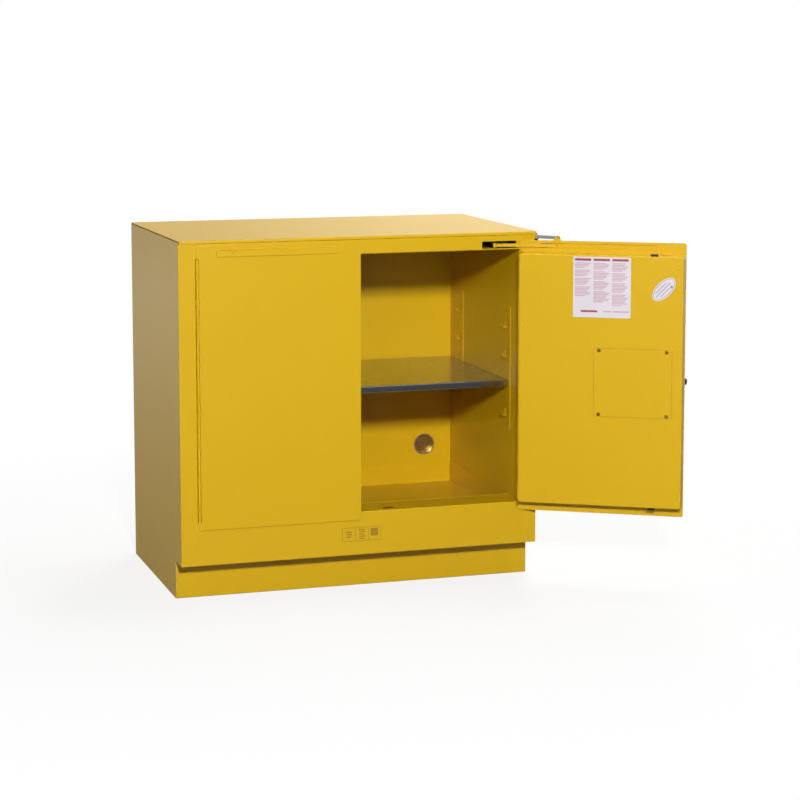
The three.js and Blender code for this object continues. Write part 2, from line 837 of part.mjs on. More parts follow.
function closerArm() {
  const line = [
    [0, 0],
    [armBendAcross, -armBendForward],
    [armEndAcross, -armEndForward],
  ];
  const z0 = armMiddle - armHeight / 2;
  const bar = alongZ(folded(line, -armThick / 2, armThick / 2), z0, z0 + armHeight);
  const rollerTop = armMiddle + armRollerHeight / 2;
  const hubBottom = armMiddle - closerHubHeight / 2;
  const shaftTop = headerTop - frameSheet - 2 * seam;
  return join(
    bar,
    roundAlongZ(armEndAcross, -armEndForward, armRollerRadius, rollerTop - armRollerHeight, rollerTop),
    roundAlongZ(0, 0, closerHubRadius, hubBottom, hubBottom + closerHubHeight),
    roundAlongZ(0, 0, closerShaftRadius, armMiddle, shaftTop),
  );
}

// The arm turns until its end meets the track of the open door: a circle about the shaft cut by a line.
// Both are seen from above with the pin axis as origin, x along the shut door and y into the cabinet.
function armSweep() {
  const shaft = new THREE.Vector2(hingeLine - closerShaft, closerShaftDepth + hingeProud);
  const armLength = Math.hypot(armEndAcross, armEndForward);
  const trackOffset = armEndForward - shaft.y;
  const turn = THREE.MathUtils.degToRad(openAngle);
  const along = new THREE.Vector2(Math.cos(turn), -Math.sin(turn));
  const outward = new THREE.Vector2(-Math.sin(turn), -Math.cos(turn));
  const start = outward.multiplyScalar(trackOffset).sub(shaft);
  const half = start.dot(along);
  const reach = -half + Math.sqrt(half * half - start.lengthSq() + armLength * armLength);
  const end = start.addScaledVector(along, reach);
  return Math.atan2(-armEndForward, armEndAcross) - Math.atan2(end.y, end.x);
}

function closerBody() {
  const top = headerTop - frameSheet - seam;
  const y0 = behindFrame + bendRadius - closerY;
  const middleY = y0 + closerBlockDepth / 2;
  const middleZ = (closerBodyBottom + top) / 2;
  const block = slab(-closerBlock / 2, closerBlock / 2, y0, y0 + closerBlockDepth, closerBodyBottom, top);
  const barrel = roundAlongX(middleY, middleZ, closerBarrelRadius, 0, closerBarrelLength);
  const bore = roundAlongZ(0, 0, closerShaftRadius + seam, closerBodyBottom - overrun, top + overrun);
  return cut(join(block, barrel), bore);
}

// Fusible link, in the frame of the open door: a ring round the post, a strip of two soldered halves, and a
// tab whose pin stands in the bracket's eye.

function linkPostOnDoor() {
  const post = new THREE.Vector2(hingeLine - linkPostAcross, hingeProud - linkPostForward);
  return post.rotateAround(new THREE.Vector2(), THREE.MathUtils.degToRad(openAngle));
}

function fusibleLink() {
  const post = linkPostOnDoor();
  const z0 = linkEyeHeight - linkHeight / 2;
  const z1 = z0 + linkHeight;
  const tabY = skinInside - linkStrip / 2;
  const line = [
    [post.x, post.y],
    [linkEye - linkTab, tabY],
    [linkEye + linkTab, tabY],
  ];
  const strip = alongZ(folded(line, -linkStrip / 2, linkStrip / 2), z0, z1);
  const slope = Math.atan2(tabY - post.y, linkEye - linkTab - post.x);
  const lapInset = linkStrip / 2;
  const lap = slab(-linkLap / 2, linkLap / 2, -linkStrip, lapInset, z0 + lapInset, z1 - lapInset);
  lap.rotateZ(slope).translate((post.x + linkEye - linkTab) / 2, (post.y + tabY) / 2, 0);
  const ring = roundAlongZ(post.x, post.y, linkPostRadius + seam + linkRingWall, z0, z1);
  const pin = roundAlongY(linkEye, linkEyeHeight, linkPin, tabY, skinInside + seam + linkPlate);
  const bore = roundAlongZ(post.x, post.y, linkPostRadius + seam, z0 - overrun, z1 + overrun);
  return cut(join(strip, lap, ring, pin), bore);
}

function linkPost() {
  const top = linkEyeHeight + linkHeight / 2;
  const earTop = linkEyeHeight - linkHeight / 2 - seam;
  const y = frontY - linkPostForward;
  const corners = [
    [frontY - seam, earTop - linkEarDrop],
    [frontY - seam, earTop],
    [y - linkEarHalf, earTop],
  ];
  const x0 = linkPostAcross - linkEarHalf;
  const ear = alongX(folded(corners, 0, linkPostEar), x0, x0 + 2 * linkEarHalf);
  return join(ear, roundAlongZ(linkPostAcross, y, linkPostRadius, earTop - linkPostEar, top));
}

// Latch, in the frame of the door, about the spindle's axis

function atSpindle(geometry) {
  return geometry.translate(latchAlong, 0, latchHeight);
}

function latchCam() {
  const back = camFront + camThick;
  const pinBack = rodMiddle + rodThick / 2 - seam;
  const neckFront = -doorProud - roseThick - 2 * seam;
  return atSpindle(join(
    roundAlongY(0, 0, spindleRadius, neckFront - leverSocket, back, roundSides),
    roundAlongY(0, 0, camRadius, camFront, back, roundSides),
    roundAlongY(-crankDrop, -crankDrop, crankPin, back - camThick / 2, pinBack),
    roundAlongY(crankDrop, crankDrop, crankPin, back - camThick / 2, pinBack),
  ));
}

function latchBearing() {
  const plateFront = skinInside + seam;
  const plateBack = plateFront + bearingThick;
  const halfX = bearingWidth / 2;
  const halfZ = bearingHeight / 2;
  const plate = slab(-halfX, halfX, plateFront, plateBack, -halfZ, halfZ);
  const bush = roundAlongY(0, 0, bushRadius, plateFront, camFront - seam, roundSides);
  const bore = roundAlongY(0, 0, spindleRadius + spindleClearance, -overrun, camFront + overrun, roundSides);
  return atSpindle(cut(join(plate, bush), bore));
}

// A rod has a head beside the spindle with a level slot for its crank pin, and a bar that ends in the bolt.
// hand is 1 for the top rod and -1 for the bottom rod, and the cranks stand opposite each other.
function latchRod(hand, end) {
  const half = rodWidth / 2;
  const headNear = -rodHeadGap / 2;
  const headFar = headNear - rodHeadWidth;
  const headEnd = -crankDrop - rodHeadOver;
  const points = [
    [headFar, headEnd],
    [headNear, headEnd],
    [headNear, rodShoulder],
    [half, rodShoulder],
    [half, end - boltSlope],
    [half - boltSlope, end],
    [boltSlope - half, end],
    [-half, end - boltSlope],
    [-half, rodShoulder + rodHeadLap + half],
    [headFar, rodShoulder + rodHeadLap],
  ];
  const slotMiddle = -(crankArm + crankDrop) / 2;
  const slotHalf = (crankArm - crankDrop) / 2 + crankPin + crankClearance;
  const slotTall = crankPin + crankClearance;
  const slotPoints = [
    [slotMiddle - slotHalf, -crankDrop - slotTall],
    [slotMiddle + slotHalf, -crankDrop - slotTall],
    [slotMiddle + slotHalf, -crankDrop + slotTall],
    [slotMiddle - slotHalf, -crankDrop + slotTall],
  ];
  const turned180 = (list) => list.map(([x, z]) => [hand * x, hand * z]);
  const shape = outline(turned180(points));
  shape.holes.push(outline(turned180(slotPoints)));
  return atSpindle(alongY(shape, rodMiddle - rodThick / 2, rodMiddle + rodThick / 2));
}

function rose() {
  const back = -doorProud - seam;
  const halfX = bearingWidth / 2;
  const halfZ = bearingHeight / 2;
  const shape = roundedRectangle(-halfX, halfX, -halfZ, halfZ, roseRound);
  const plate = alongY(shape, back - roseThick, back);
  const bore = roundAlongY(0, 0, spindleRadius + spindleClearance, -2 * leverStand, overrun, roundSides);
  return atSpindle(cut(plate, bore));
}

// The lever stands off the door on its neck. At rest it points at the free edge, with the bolts drawn.
function lever() {
  const neckBack = -doorProud - roseThick - 2 * seam;
  const back = -leverStand;
  const front = back - leverThick;
  const half = leverTall / 2;
  const tipHalf = leverTipTall / 2;
  const grip = outline([
    [0, -half],
    [leverReach - tipHalf, -half],
    [leverReach, -tipHalf],
    [leverReach, tipHalf / 2],
    [leverReach - leverTipTall, half],
    [0, half],
  ]);
  const socketEnd = neckBack - leverSocket - seam;
  return atSpindle(cut(
    join(
      alongY(grip, front, back),
      roundAlongY(0, 0, leverHubRadius, front, back, roundSides),
      roundAlongY(0, 0, leverNeck, back - leverThick / 2, neckBack, roundSides),
    ),
    roundAlongY(0, 0, spindleRadius + seam, socketEnd, neckBack + overrun, roundSides),
    roundAlongY(0, 0, lockRadius + seam, front - overrun, front + lockDepth, roundSides),
  ));
}

function lockCylinder() {
  const front = -leverStand - leverThick;
  const barrel = roundAlongY(0, 0, lockRadius, front - seam, front + lockDepth - seam, roundSides);
  const slot = slab(
    -lockSlotWide / 2,
    lockSlotWide / 2,
    front - overrun,
    front + lockSlotDeep,
    -lockSlotTall / 2,
    lockSlotTall / 2,
  );
  return atSpindle(cut(barrel, slot));
}

function latchCover() {
  const shape = roundedRectangle(coverStart, coverEnd, coverBottom, coverTop, coverRound);
  return alongY(shape, panFace + seam, panFace + seam + coverSheet);
}

function rightSkin() {
  const bore = roundAlongY(0, 0, spindleRadius + spindleClearance, -overrun, overrun, roundSides);
  return cut(doorSkin(rightSkinEdge), atSpindle(bore));
}

function rightPan() {
  const halfX = rodWidth / 2 + rodClearance;
  const halfY = rodThick / 2 + rodClearance;
  const rodHole = (z) => slab(
    latchAlong - halfX,
    latchAlong + halfX,
    rodMiddle - halfY,
    rodMiddle + halfY,
    z - overrun,
    z + overrun,
  );
  const window = slab(
    coverStart + coverLap,
    coverEnd - coverLap,
    panFace - sheet - overrun / 2,
    panFace + overrun,
    coverBottom + coverLap,
    coverTop - coverLap,
  );
  return cut(doorPan(rightSkinEdge), rodHole(panTop), rodHole(panBottom), window);
}

// Vents: a flanged sleeve through both back walls, a perforated disc across it and a screwed bung.

function ventHole(x, z, y) {
  return roundAlongY(x, z, ventBore + ventWall + seam, y - overrun, y + sheet + overrun, roundSides);
}

function ventSleeve() {
  const outer = ventBore + ventWall;
  const flangeY = backY + seam;
  const profile = [
    [ventBore, linerBack],
    [outer, linerBack],
    [outer, flangeY],
    [ventFlange, flangeY],
    [ventFlange, flangeY + ventFlangeThick],
    [ventBore, flangeY + ventFlangeThick],
    [ventBore, linerBack],
  ];
  return turned(profile);
}

function flameArrester() {
  const radius = ventBore - seam;
  const disc = roundAlongY(0, 0, radius, arresterPlace, arresterPlace + arresterThick, roundSides);
  const rowPitch = arresterPitch * Math.sin(Math.PI / 3);
  const rows = Math.floor(radius / rowPitch) - 1;
  const holeEnd = arresterPlace + arresterThick + overrun;
  const holes = [];
  for (let row = -rows; row <= rows; row += 1) {
    for (let column = -rows; column <= rows; column += 1) {
      const x = (column + Math.abs(row % 2) / 2) * arresterPitch;
      const z = row * rowPitch;
      if (Math.hypot(x, z) < radius - arresterPitch / 2) {
        holes.push(roundAlongY(x, z, arresterHole, arresterPlace - overrun, holeEnd, hexSides));
      }
    }
  }
  return cut(disc, ...holes);
}

function ventBung() {
  const seat = backY + 2 * seam + ventFlangeThick;
  const chamfer = bungHead / 4;
  const body = turned([
    [0, seat - bungLength],
    [ventBore - seam, seat - bungLength],
    [ventBore - seam, seat],
    [bungHeadRadius, seat],
    [bungHeadRadius, seat + bungHead - chamfer],
    [bungHeadRadius - chamfer, seat + bungHead],
    [0, seat + bungHead],
  ]);
  const half = bungRecess / 2;
  const face = seat + bungHead;
  const recess = slab(-half, half, face - bungRecessDepth, face + overrun, -half, half);
  return cut(body, recess);
}

function earthScrew() {
  const y0 = backY + seam;
  const y1 = y0 + earthWasherThick;
  return join(
    roundAlongY(0, 0, earthShank, y0 - earthShankLength, y1),
    roundAlongY(0, 0, earthWasher, y0, y1, roundSides),
    roundAlongY(0, 0, earthHead, y1 - earthWasherThick / 2, y1 + earthHeadThick, hexSides),
  );
}

function foot() {
  const profile = [
    [0, 0],
    [footRadius, 0],
    [footRadius, footPad - footNeck / 2],
    [footRadius - footNeck, footPad],
    [studRadius, footPad + footNeck],
    [studRadius, studTop],
    [0, studTop],
  ];
  return turned(profile).rotateX(Math.PI / 2);
}

// The assembly

const cabinet = new THREE.Group();

function put(parent, name, geometry, material) {
  const shown = geometry.clone();
  shown.computeVertexNormals();
  const mesh = new THREE.Mesh(shown, new THREE.MeshStandardMaterial(material));
  mesh.name = name;
  parent.add(mesh);
}

// Puts a piece made for the right side on the right, and its mirror image on the left.
function putPair(name, geometry, material) {
  put(cabinet, `right_${name}`, geometry, material);
  put(cabinet, `left_${name}`, mirrored(geometry), material);
}

// A frame at one side: its own x runs towards the middle of the cabinet, so right-hand pieces are mirrored.
function sideFrame(side, across, y, turn) {
  const frame = new THREE.Group();
  frame.position.set(side * across, y, 0);
  frame.rotation.z = side * turn;
  cabinet.add(frame);
  return (name, geometry, material) => {
    put(frame, name, side > 0 ? mirrored(geometry) : geometry, material);
  };
}

putPair("side_panel", sidePanel(), yellowPaint);
put(cabinet, "top_panel", topPanel(), yellowPaint);
put(cabinet, "back_panel", backPanel(), yellowPaint);
put(cabinet, "bottom_panel", bottomPanel(), yellowPaint);
put(cabinet, "toe_kick", baseRail(frontY + kickSetback, 1, footFront), yellowPaint);
put(cabinet, "rear_base_rail", baseRail(railBackY, -1, footBack, earthHole()), yellowPaint);
putPair("stile", stile(), yellowPaint);
put(cabinet, "header_rail", headerRail(), yellowPaint);
put(cabinet, "bottom_rail", bottomRail(), yellowPaint);
putPair("side_liner", sideLiner(), yellowPaint);
put(cabinet, "back_liner", backLiner(), yellowPaint);
put(cabinet, "ceiling_liner", ceiling(), yellowPaint);
put(cabinet, "sump_pan", sumpPan(), yellowPaint);
standardPlaces.forEach((y, i) => {
  putPair(i === 0 ? "front_shelf_standard" : "rear_shelf_standard", standard(y), yellowPaint);
});
put(cabinet, "shelf", shelf(), galvanised);

const open = THREE.MathUtils.degToRad(openAngle);
const sides = [
  { name: "left", side: -1, turn: 0, armTurn: 0, skin: doorSkin(leftSkinEdge), pan: doorPan(leftSkinEdge) },
  { name: "right", side: 1, turn: open, armTurn: armSweep(), skin: rightSkin(), pan: rightPan() },
];
sides.forEach(({ name, side, turn, armTurn, skin, pan }) => {
  const onFrame = sideFrame(side, hingeLine, hingeY, 0);
  onFrame(`${name}_hinge_frame_leaf`, hingeLeaf(-1, 0), yellowPaint);
  onFrame(`${name}_hinge_pin`, hingePin(), galvanised);
  const onDoor = sideFrame(side, hingeLine, hingeY, turn);
  onDoor(`${name}_door_skin`, skin, yellowPaint);
  onDoor(`${name}_door_pan`, pan, yellowPaint);
  onDoor(`${name}_hinge_door_leaf`, hingeLeaf(1, 1), yellowPaint);
  onDoor(`${name}_closer_track`, track(), yellowPaint);
  onDoor(`${name}_link_bracket`, linkBracket(), yellowPaint);
  const atShaft = sideFrame(side, closerShaft, closerY, 0);
  atShaft(`${name}_closer_body`, closerBody(), zincPlate);
  const onShaft = sideFrame(side, closerShaft, closerY, armTurn);
  onShaft(`${name}_closer_arm`, closerArm(), yellowPaint);
});

const onRightDoor = sideFrame(1, hingeLine, hingeY, open);
onRightDoor("latch_cover", latchCover(), yellowPaint);
onRightDoor("latch_bearing", latchBearing(), zincPlate);
onRightDoor("latch_cam", latchCam(), zincPlate);
onRightDoor("top_latch_rod", latchRod(1, panTop + boltRest - latchHeight), zincPlate);
onRightDoor("bottom_latch_rod", latchRod(-1, latchHeight - panBottom + boltRest), zincPlate);
onRightDoor("handle_rose", rose(), blackPlastic);
onRightDoor("handle_lever", lever(), blackPlastic);
onRightDoor("lock_cylinder", lockCylinder(), chromePlate);
onRightDoor("fusible_link", fusibleLink(), zincPlate);
put(cabinet, "link_post", linkPost(), zincPlate);

ventPlaces.forEach(([x, z], i) => {
  const which = i === 0 ? "upper" : "lower";
  const vent = new THREE.Group();
  vent.position.set(x, 0, z);
  cabinet.add(vent);
  put(vent, `${which}_vent_sleeve`, ventSleeve(), zincPlate);
  put(vent, `${which}_flame_arrester`, flameArrester(), brass);
  put(vent, `${which}_vent_bung`, ventBung(), zincPlate);
});

const earth = new THREE.Group();
earth.position.set(-earthAcross, 0, earthHeight);
cabinet.add(earth);
put(earth, "earth_screw", earthScrew(), brass);

[footFront, footBack].forEach((y, i) => {
  const corner = new THREE.Group();
  corner.position.y = y;
  cabinet.add(corner);
  const row = i === 0 ? "front" : "rear";
  const right = foot().translate(footAcross, 0, 0);
  put(corner, `${row}_right_foot`, right, zincPlate);
  put(corner, `${row}_left_foot`, mirrored(right), zincPlate);
});

export default cabinet;
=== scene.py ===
# %% [markdown]
# # A safety cabinet for flammable liquids
# The real thing is folded from yellow powder-coated steel sheet, with a second wall inside the first one and
# an air gap between them. Its two doors hang on hinges that run over their whole height. This lesson takes
# the cabinet's bare solids, softens their edges, gives every surface a finish, and adds the small parts that
# only matter to the eye: screws, a gasket whose darker edge is painted shade, rivets, welds and printed
# films.
# The first cell loads the solids.
# They never move.

# %% Load the solids
import json
import math

import bpy
from mathutils import Matrix, Vector


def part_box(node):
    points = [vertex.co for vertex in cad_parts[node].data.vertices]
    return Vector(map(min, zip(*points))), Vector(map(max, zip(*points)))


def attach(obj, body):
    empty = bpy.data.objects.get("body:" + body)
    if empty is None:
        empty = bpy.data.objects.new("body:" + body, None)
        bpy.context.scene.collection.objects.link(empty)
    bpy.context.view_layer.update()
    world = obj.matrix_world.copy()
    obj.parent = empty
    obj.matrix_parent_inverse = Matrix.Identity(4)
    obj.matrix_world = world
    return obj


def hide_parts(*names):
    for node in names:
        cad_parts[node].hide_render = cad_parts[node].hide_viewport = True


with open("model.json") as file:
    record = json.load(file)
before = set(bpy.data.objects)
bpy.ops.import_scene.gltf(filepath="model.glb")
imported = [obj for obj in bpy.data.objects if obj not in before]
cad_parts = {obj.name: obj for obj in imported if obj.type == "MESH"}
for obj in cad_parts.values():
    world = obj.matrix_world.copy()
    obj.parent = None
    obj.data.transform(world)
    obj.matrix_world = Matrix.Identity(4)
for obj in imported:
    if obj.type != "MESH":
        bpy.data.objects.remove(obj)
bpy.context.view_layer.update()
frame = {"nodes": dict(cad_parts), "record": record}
nodes = frame["nodes"]

# %% [markdown]
# ## The view
# A product photograph is taken from far away with a long lens, so that the cabinet's lines stay nearly
# parallel. The camera stands five and a half metres off, a little to the left of the cabinet and above it.
# The small vertical shift does what an architect's lens does: it keeps the uprights from leaning together.

# %% Camera
CAMERA_PLACE = Vector((-1.5331, -5.3500, 1.3356))
CAMERA_TURN = math.radians(17.792)  # to the right of straight ahead
CAMERA_DIP = math.radians(6.861)  # below the horizon
LENS_LENGTH = 101.015  # millimetres
PICTURE_WIDTH = 36  # millimetres, behind the lens
LENS_SHIFT = -0.12  # part of the picture's width


def direction(turn, rise):
    """A unit vector that points ahead along y, turned to the right and raised."""
    return Vector((math.sin(turn) * math.cos(rise), math.cos(turn) * math.cos(rise), math.sin(rise)))


look = direction(CAMERA_TURN, -CAMERA_DIP)
lens = bpy.data.cameras.new("photograph_lens")
lens.lens = LENS_LENGTH
lens.sensor_width = PICTURE_WIDTH
lens.shift_y = LENS_SHIFT
camera = bpy.data.objects.new("photograph_camera", lens)
bpy.context.scene.collection.objects.link(camera)
camera.location = CAMERA_PLACE
camera.rotation_mode = "QUATERNION"
camera.rotation_quaternion = look.to_track_quat("-Z", "Y")
bpy.context.scene.camera = camera
print("camera looks along", tuple(round(v, 3) for v in look))

# %% [markdown]
# ## Helpers for materials
# Every finish below is a small network of nodes round one Principled shader. Three helpers keep the cells
# short: one turns the colour that a paint card gives into the linear numbers that a shader needs, one starts
# an empty network, and one adds a node, fills in its sockets and joins it to the nodes before it. A node may
# have several sockets of one name, one for each kind of value, and only those in use count. Patterns read
# Object coordinates, which are metres here, so a scale counts how often a pattern repeats in a metre: at 500
# the bumps are about two millimetres apart.

# %% Material helpers
MM = 0.001


def linear(code):
    """The linear colour of a web colour such as "#dcb42a"."""
    parts = [int(code[i:i + 2], 16) / 255 for i in (1, 3, 5)]
    return tuple(p / 12.92 if p <= 0.04045 else ((p + 0.055) / 1.055) ** 2.4 for p in parts) + (1.0,)


def add_node(tree, kind, inputs=None, **settings):
    """Adds a node. An input, by name or number, is a value, another node or one output of another node."""
    node = tree.nodes.new("ShaderNode" + kind)
    for name, value in settings.items():
        setattr(node, name, value)
    in_use = {socket.name: socket for socket in reversed(node.inputs) if socket.enabled}
    for name, value in (inputs or {}).items():
        socket = in_use[name] if name in in_use else node.inputs[name]
        if isinstance(value, bpy.types.Node):
            value = next(output for output in value.outputs if output.enabled)
        if isinstance(value, bpy.types.NodeSocket):
            tree.links.new(value, socket)
        else:
            socket.default_value = value
    return node


def start_material(name):
    """A material with an empty network, and the coordinates that its patterns read."""
    material = bpy.data.materials.new(name)
    material.use_nodes = True
    tree = material.node_tree
    tree.nodes.clear()
    return material, tree, add_node(tree, "TexCoord").outputs["Object"]


print("yellow of the paint card:", [round(v, 3) for v in linear("#dcb42a")])

# %% [markdown]
# ## Powder coat
# Powder is sprayed on dry and melted in an oven. It flows into a tough skin that is never quite level: it
# has the fine pimples called orange peel, and the thin sheet below it waves gently. Both are bumps here, one
# some millimetres apart and one as long as a hand. The gloss varies a little too, and the colour turns a
# trace warmer where the powder lies thicker. At a shallow angle the smooth skin mirrors the pale room, and
# that comes from the shader by itself.

# %% Yellow powder coat
POWDER_CLOUDS = 3.0  # a third of a metre each
GLOSS_PATCHES = 160.0  # 6 mm
SHEET_WAVES = 5.0  # 200 mm
ORANGE_PEEL = 520.0  # 2 mm


def powder_coat(name, light, deep, gloss):
    """Semi-gloss powder coat over folded sheet."""
    material, tree, where = start_material(name)
    cloud = add_node(tree, "TexNoise", {"Vector": where, "Scale": POWDER_CLOUDS, "Detail": 3.0})
    colour = add_node(tree, "Mix", {"Factor": cloud, "A": linear(light), "B": linear(deep)}, data_type="RGBA")
    patches = add_node(tree, "TexNoise", {"Vector": where, "Scale": GLOSS_PATCHES, "Detail": 1.0})
    rough = add_node(tree, "MapRange", {"Value": patches, "To Min": gloss - 0.03, "To Max": gloss + 0.05})
    sheet = add_node(tree, "TexNoise", {"Vector": where, "Scale": SHEET_WAVES, "Detail": 1.0})
    waves = add_node(tree, "Bump", {"Height": sheet, "Distance": 0.8 * MM, "Strength": 0.35})
    pimples = add_node(tree, "TexNoise", {"Vector": where, "Scale": ORANGE_PEEL, "Detail": 2.0})
    peel = add_node(tree, "Bump", {
        "Height": pimples, "Distance": 0.06 * MM, "Strength": 0.6, "Normal": waves})
    shader = add_node(tree, "BsdfPrincipled", {
        "Base Color": colour, "Roughness": rough, "Normal": peel, "IOR": 1.5})
    add_node(tree, "OutputMaterial", {"Surface": shader})
    return material


yellow_powder = powder_coat("yellow_powder_coat", "#dab00c", "#d6ab09", 0.30)
print("made", yellow_powder.name)

# %% [markdown]
# ## Galvanised sheet
# The shelf is galvanised: dipped in zinc, which freezes into flat crystals that each mirror the light their
# own way. A Voronoi pattern gives every crystal one grey and one gloss. Its cells have straight sides, which
# real crystals haven't, so a noise first moves the coordinates by a few millimetres.

# %% Galvanised steel
CRYSTALS = 130.0  # 8 mm
CRYSTAL_SIDES = 300.0  # 3 mm
SIDE_WANDER = 4 * MM
ZINC_SKIN = 420.0  # 2 mm


def galvanised_sheet(name, light, dark):
    """Zinc crystals some millimetres across."""
    material, tree, where = start_material(name)
    sides = add_node(tree, "TexNoise", {"Vector": where, "Scale": CRYSTAL_SIDES, "Detail": 2.0})
    wander = add_node(tree, "Mix", {
        "Factor": sides, "A": (0.0, 0.0, 0.0, 1.0), "B": (SIDE_WANDER,) * 3 + (1.0,)}, data_type="RGBA")
    stirred = add_node(tree, "VectorMath", {0: where, 1: wander}, operation="ADD")
    crystals = add_node(tree, "TexVoronoi", {"Vector": stirred, "Scale": CRYSTALS})
    value = add_node(tree, "SeparateColor", {"Color": crystals.outputs["Color"]})
    colour = add_node(tree, "Mix", {"Factor": value, "A": linear(light), "B": linear(dark)}, data_type="RGBA")
    rough = add_node(tree, "MapRange", {"Value": value, "To Min": 0.20, "To Max": 0.25})
    skin = add_node(tree, "TexNoise", {"Vector": where, "Scale": ZINC_SKIN, "Detail": 2.0})
    bumps = add_node(tree, "Bump", {"Height": skin, "Distance": 0.02 * MM, "Strength": 0.5})
    shader = add_node(tree, "BsdfPrincipled", {
        "Base Color": colour, "Roughness": rough, "Normal": bumps, "Metallic": 1.0})
    add_node(tree, "OutputMaterial", {"Surface": shader})
    return material


galvanised = galvanised_sheet("galvanised_steel", "#b3b6ba", "#a5a9ad")
print("made", galvanised.name)

# %% [markdown]
# ## Plated metal
# Hinges and pins are plated with zinc in a bath, which is even, with a faint cloudiness. The latch rods, the
# closers and the link's post are plated dark. The cover's screws are zinc too, but passivated yellow against
# rust, which gives them a tone between brass and brown. Brass and polished plate differ from these only in
# colour and gloss. So one helper makes them all: clouds that shift colour and gloss together, and a fine
# grain, which is drawn coarser than the real one so that it shows at all. Plastic and films use it as well.

# %% Plated metal, brass and polished plate
def clouded(name, colours, cloud_scale, gloss, grain, **constants):
    """A finish with faint clouds in its colour and gloss, and a grain of one scale, depth and strength."""
    material, tree, where = start_material(name)
    light, dark = colours
    cloud = add_node(tree, "TexNoise", {"Vector": where, "Scale": cloud_scale, "Detail": 3.0})
    colour = add_node(tree, "Mix", {"Factor": cloud, "A": linear(light), "B": linear(dark)}, data_type="RGBA")
    rough = add_node(tree, "MapRange", {"Value": cloud, "To Min": gloss[0], "To Max": gloss[1]})
    scale, depth, strength = grain
    height = add_node(tree, "TexNoise", {"Vector": where, "Scale": scale, "Detail": 1.0})
    bumps = add_node(tree, "Bump", {"Height": height, "Distance": depth, "Strength": strength})
    shader = add_node(tree, "BsdfPrincipled", {
        "Base Color": colour, "Roughness": rough, "Normal": bumps, **constants})
    add_node(tree, "OutputMaterial", {"Surface": shader})
    return material


BATH_CLOUDS = 45.0  # 22 mm
METAL_GRAIN = (1100.0, 0.01 * MM, 0.5)  # 1 mm


def plated(name, light, dark, gloss):
    """Even metal with a faint cloudiness and fine grain."""
    return clouded(name, (light, dark), BATH_CLOUDS, (gloss - 0.05, gloss + 0.08), METAL_GRAIN, Metallic=1.0)


zinc = plated("zinc_plated_steel", "#c4c7c9", "#aeb1b3", 0.30)
brass = plated("brass", "#c39c4c", "#a98238", 0.32)
polished = plated("polished_plate", "#dcdedf", "#cfd1d3", 0.12)
dark_zinc = plated("dark_plated_steel", "#4b4a48", "#363534", 0.38)
yellow_zinc = plated("yellow_passivated_zinc", "#cba257", "#a8813e", 0.24)
print("made", [finish.name for finish in (zinc, brass, polished, dark_zinc, yellow_zinc)])

# %% [markdown]
# ## Black moulded plastic and printed films
# The handle is moulded in a tool that was spark-eroded, which leaves an even, very fine grain, drawn coarser
# here. The films are thin vinyl with a satin face that never lies quite flat. Their print stays without
# lettering: fields, bars and ruled lines, in a finish for each ink. The ochre ink also colours the edge of
# the cover's gasket, and there it is painted shade: a darker line that stands in for the shadow in the gap
# round the cover.

# %% Plastic and films
HANDLE_WEAR = 60.0  # 17 mm
SPARK_GRAIN = (1500.0, 0.04 * MM, 0.6)  # 0.7 mm
FILM_AGE = 14.0  # 70 mm
FILM_LIE = (90.0, 0.03 * MM, 0.4)  # 11 mm


def vinyl(name, colour, aged):
    """Satin printed film, a trace uneven in colour and lie."""
    return clouded(name, (colour, aged), FILM_AGE, (0.37, 0.47), FILM_LIE, IOR=1.45)


black_plastic = clouded("black_plastic", ("#161617", "#232324"), HANDLE_WEAR, (0.40, 0.52), SPARK_GRAIN,
                        IOR=1.49)
white_film = vinyl("white_film", "#e0d9df", "#d8d0d8")
red_print = vinyl("red_print", "#a54d55", "#98434b")
rose_print = vinyl("rose_print", "#cba8b5", "#c29eac")
grey_print = vinyl("grey_print", "#8f9097", "#85868d")
# The same ochre colours the gasket's edge, where it is painted shade for the gap round the cover.
ochre_print_and_painted_shade = vinyl("ochre_print_and_painted_shade", "#ab841f", "#a27c1a")
prints = (red_print, rose_print, grey_print, ochre_print_and_painted_shade)
print("made", [finish.name for finish in (black_plastic, white_film, *prints)])

# %% [markdown]
# ## Softening the solids
# A solid has perfectly sharp edges, and nothing real has. Folded sheet has a radius, cut sheet is deburred,
# and paint draws back from a corner. A solid's mesh is made of loose triangles, which no bevel can follow.
# So each node is copied, its triangles are merged and dissolved into clean faces, its edges get a small
# bevel, and the normals are weighted so that flat sheet stays flat. The copy then stands for the node, on
# the same body. Round parts get their curved look by the same step.

# %% Finish of each slot
slot_of = {part["node"]: part["material_slot"] for part in frame["record"]["subparts"]}
finish_of = {
    "yellow_powder_coat": yellow_powder,
    "galvanised_steel": galvanised,
    "zinc_plated_steel": zinc,
    "black_plastic": black_plastic,
    "chrome_plate": polished,
    "brass": brass,
}
print("finishes:", sorted(finish_of))

# %% Modelling helpers
SMOOTH_BELOW = 40  # degrees between two faces that still belong to one curve
SHARP_FROM = math.radians(48)  # an edge this sharp gets a bevel


def only(piece):
    """Selects one object and nothing else."""
    bpy.ops.object.select_all(action="DESELECT")
    piece.select_set(True)
    bpy.context.view_layer.objects.active = piece


def edit(piece):
    """Opens one object's mesh with nothing selected."""
    only(piece)
    bpy.ops.object.mode_set(mode="EDIT")
    bpy.ops.mesh.select_all(action="DESELECT")


def finish_modifier(piece, kind, **settings):
    """Adds a modifier and applies it."""
    only(piece)
    modifier = piece.modifiers.new(kind.lower(), kind)
    for name, value in settings.items():
        setattr(modifier, name, value)
    bpy.ops.object.modifier_apply(modifier=modifier.name)


def smooth_faces(piece, degrees=SMOOTH_BELOW):
    """Shades a piece smooth wherever its faces meet at less than an angle."""
    only(piece)
    bpy.ops.object.shade_smooth_by_angle(angle=math.radians(degrees))


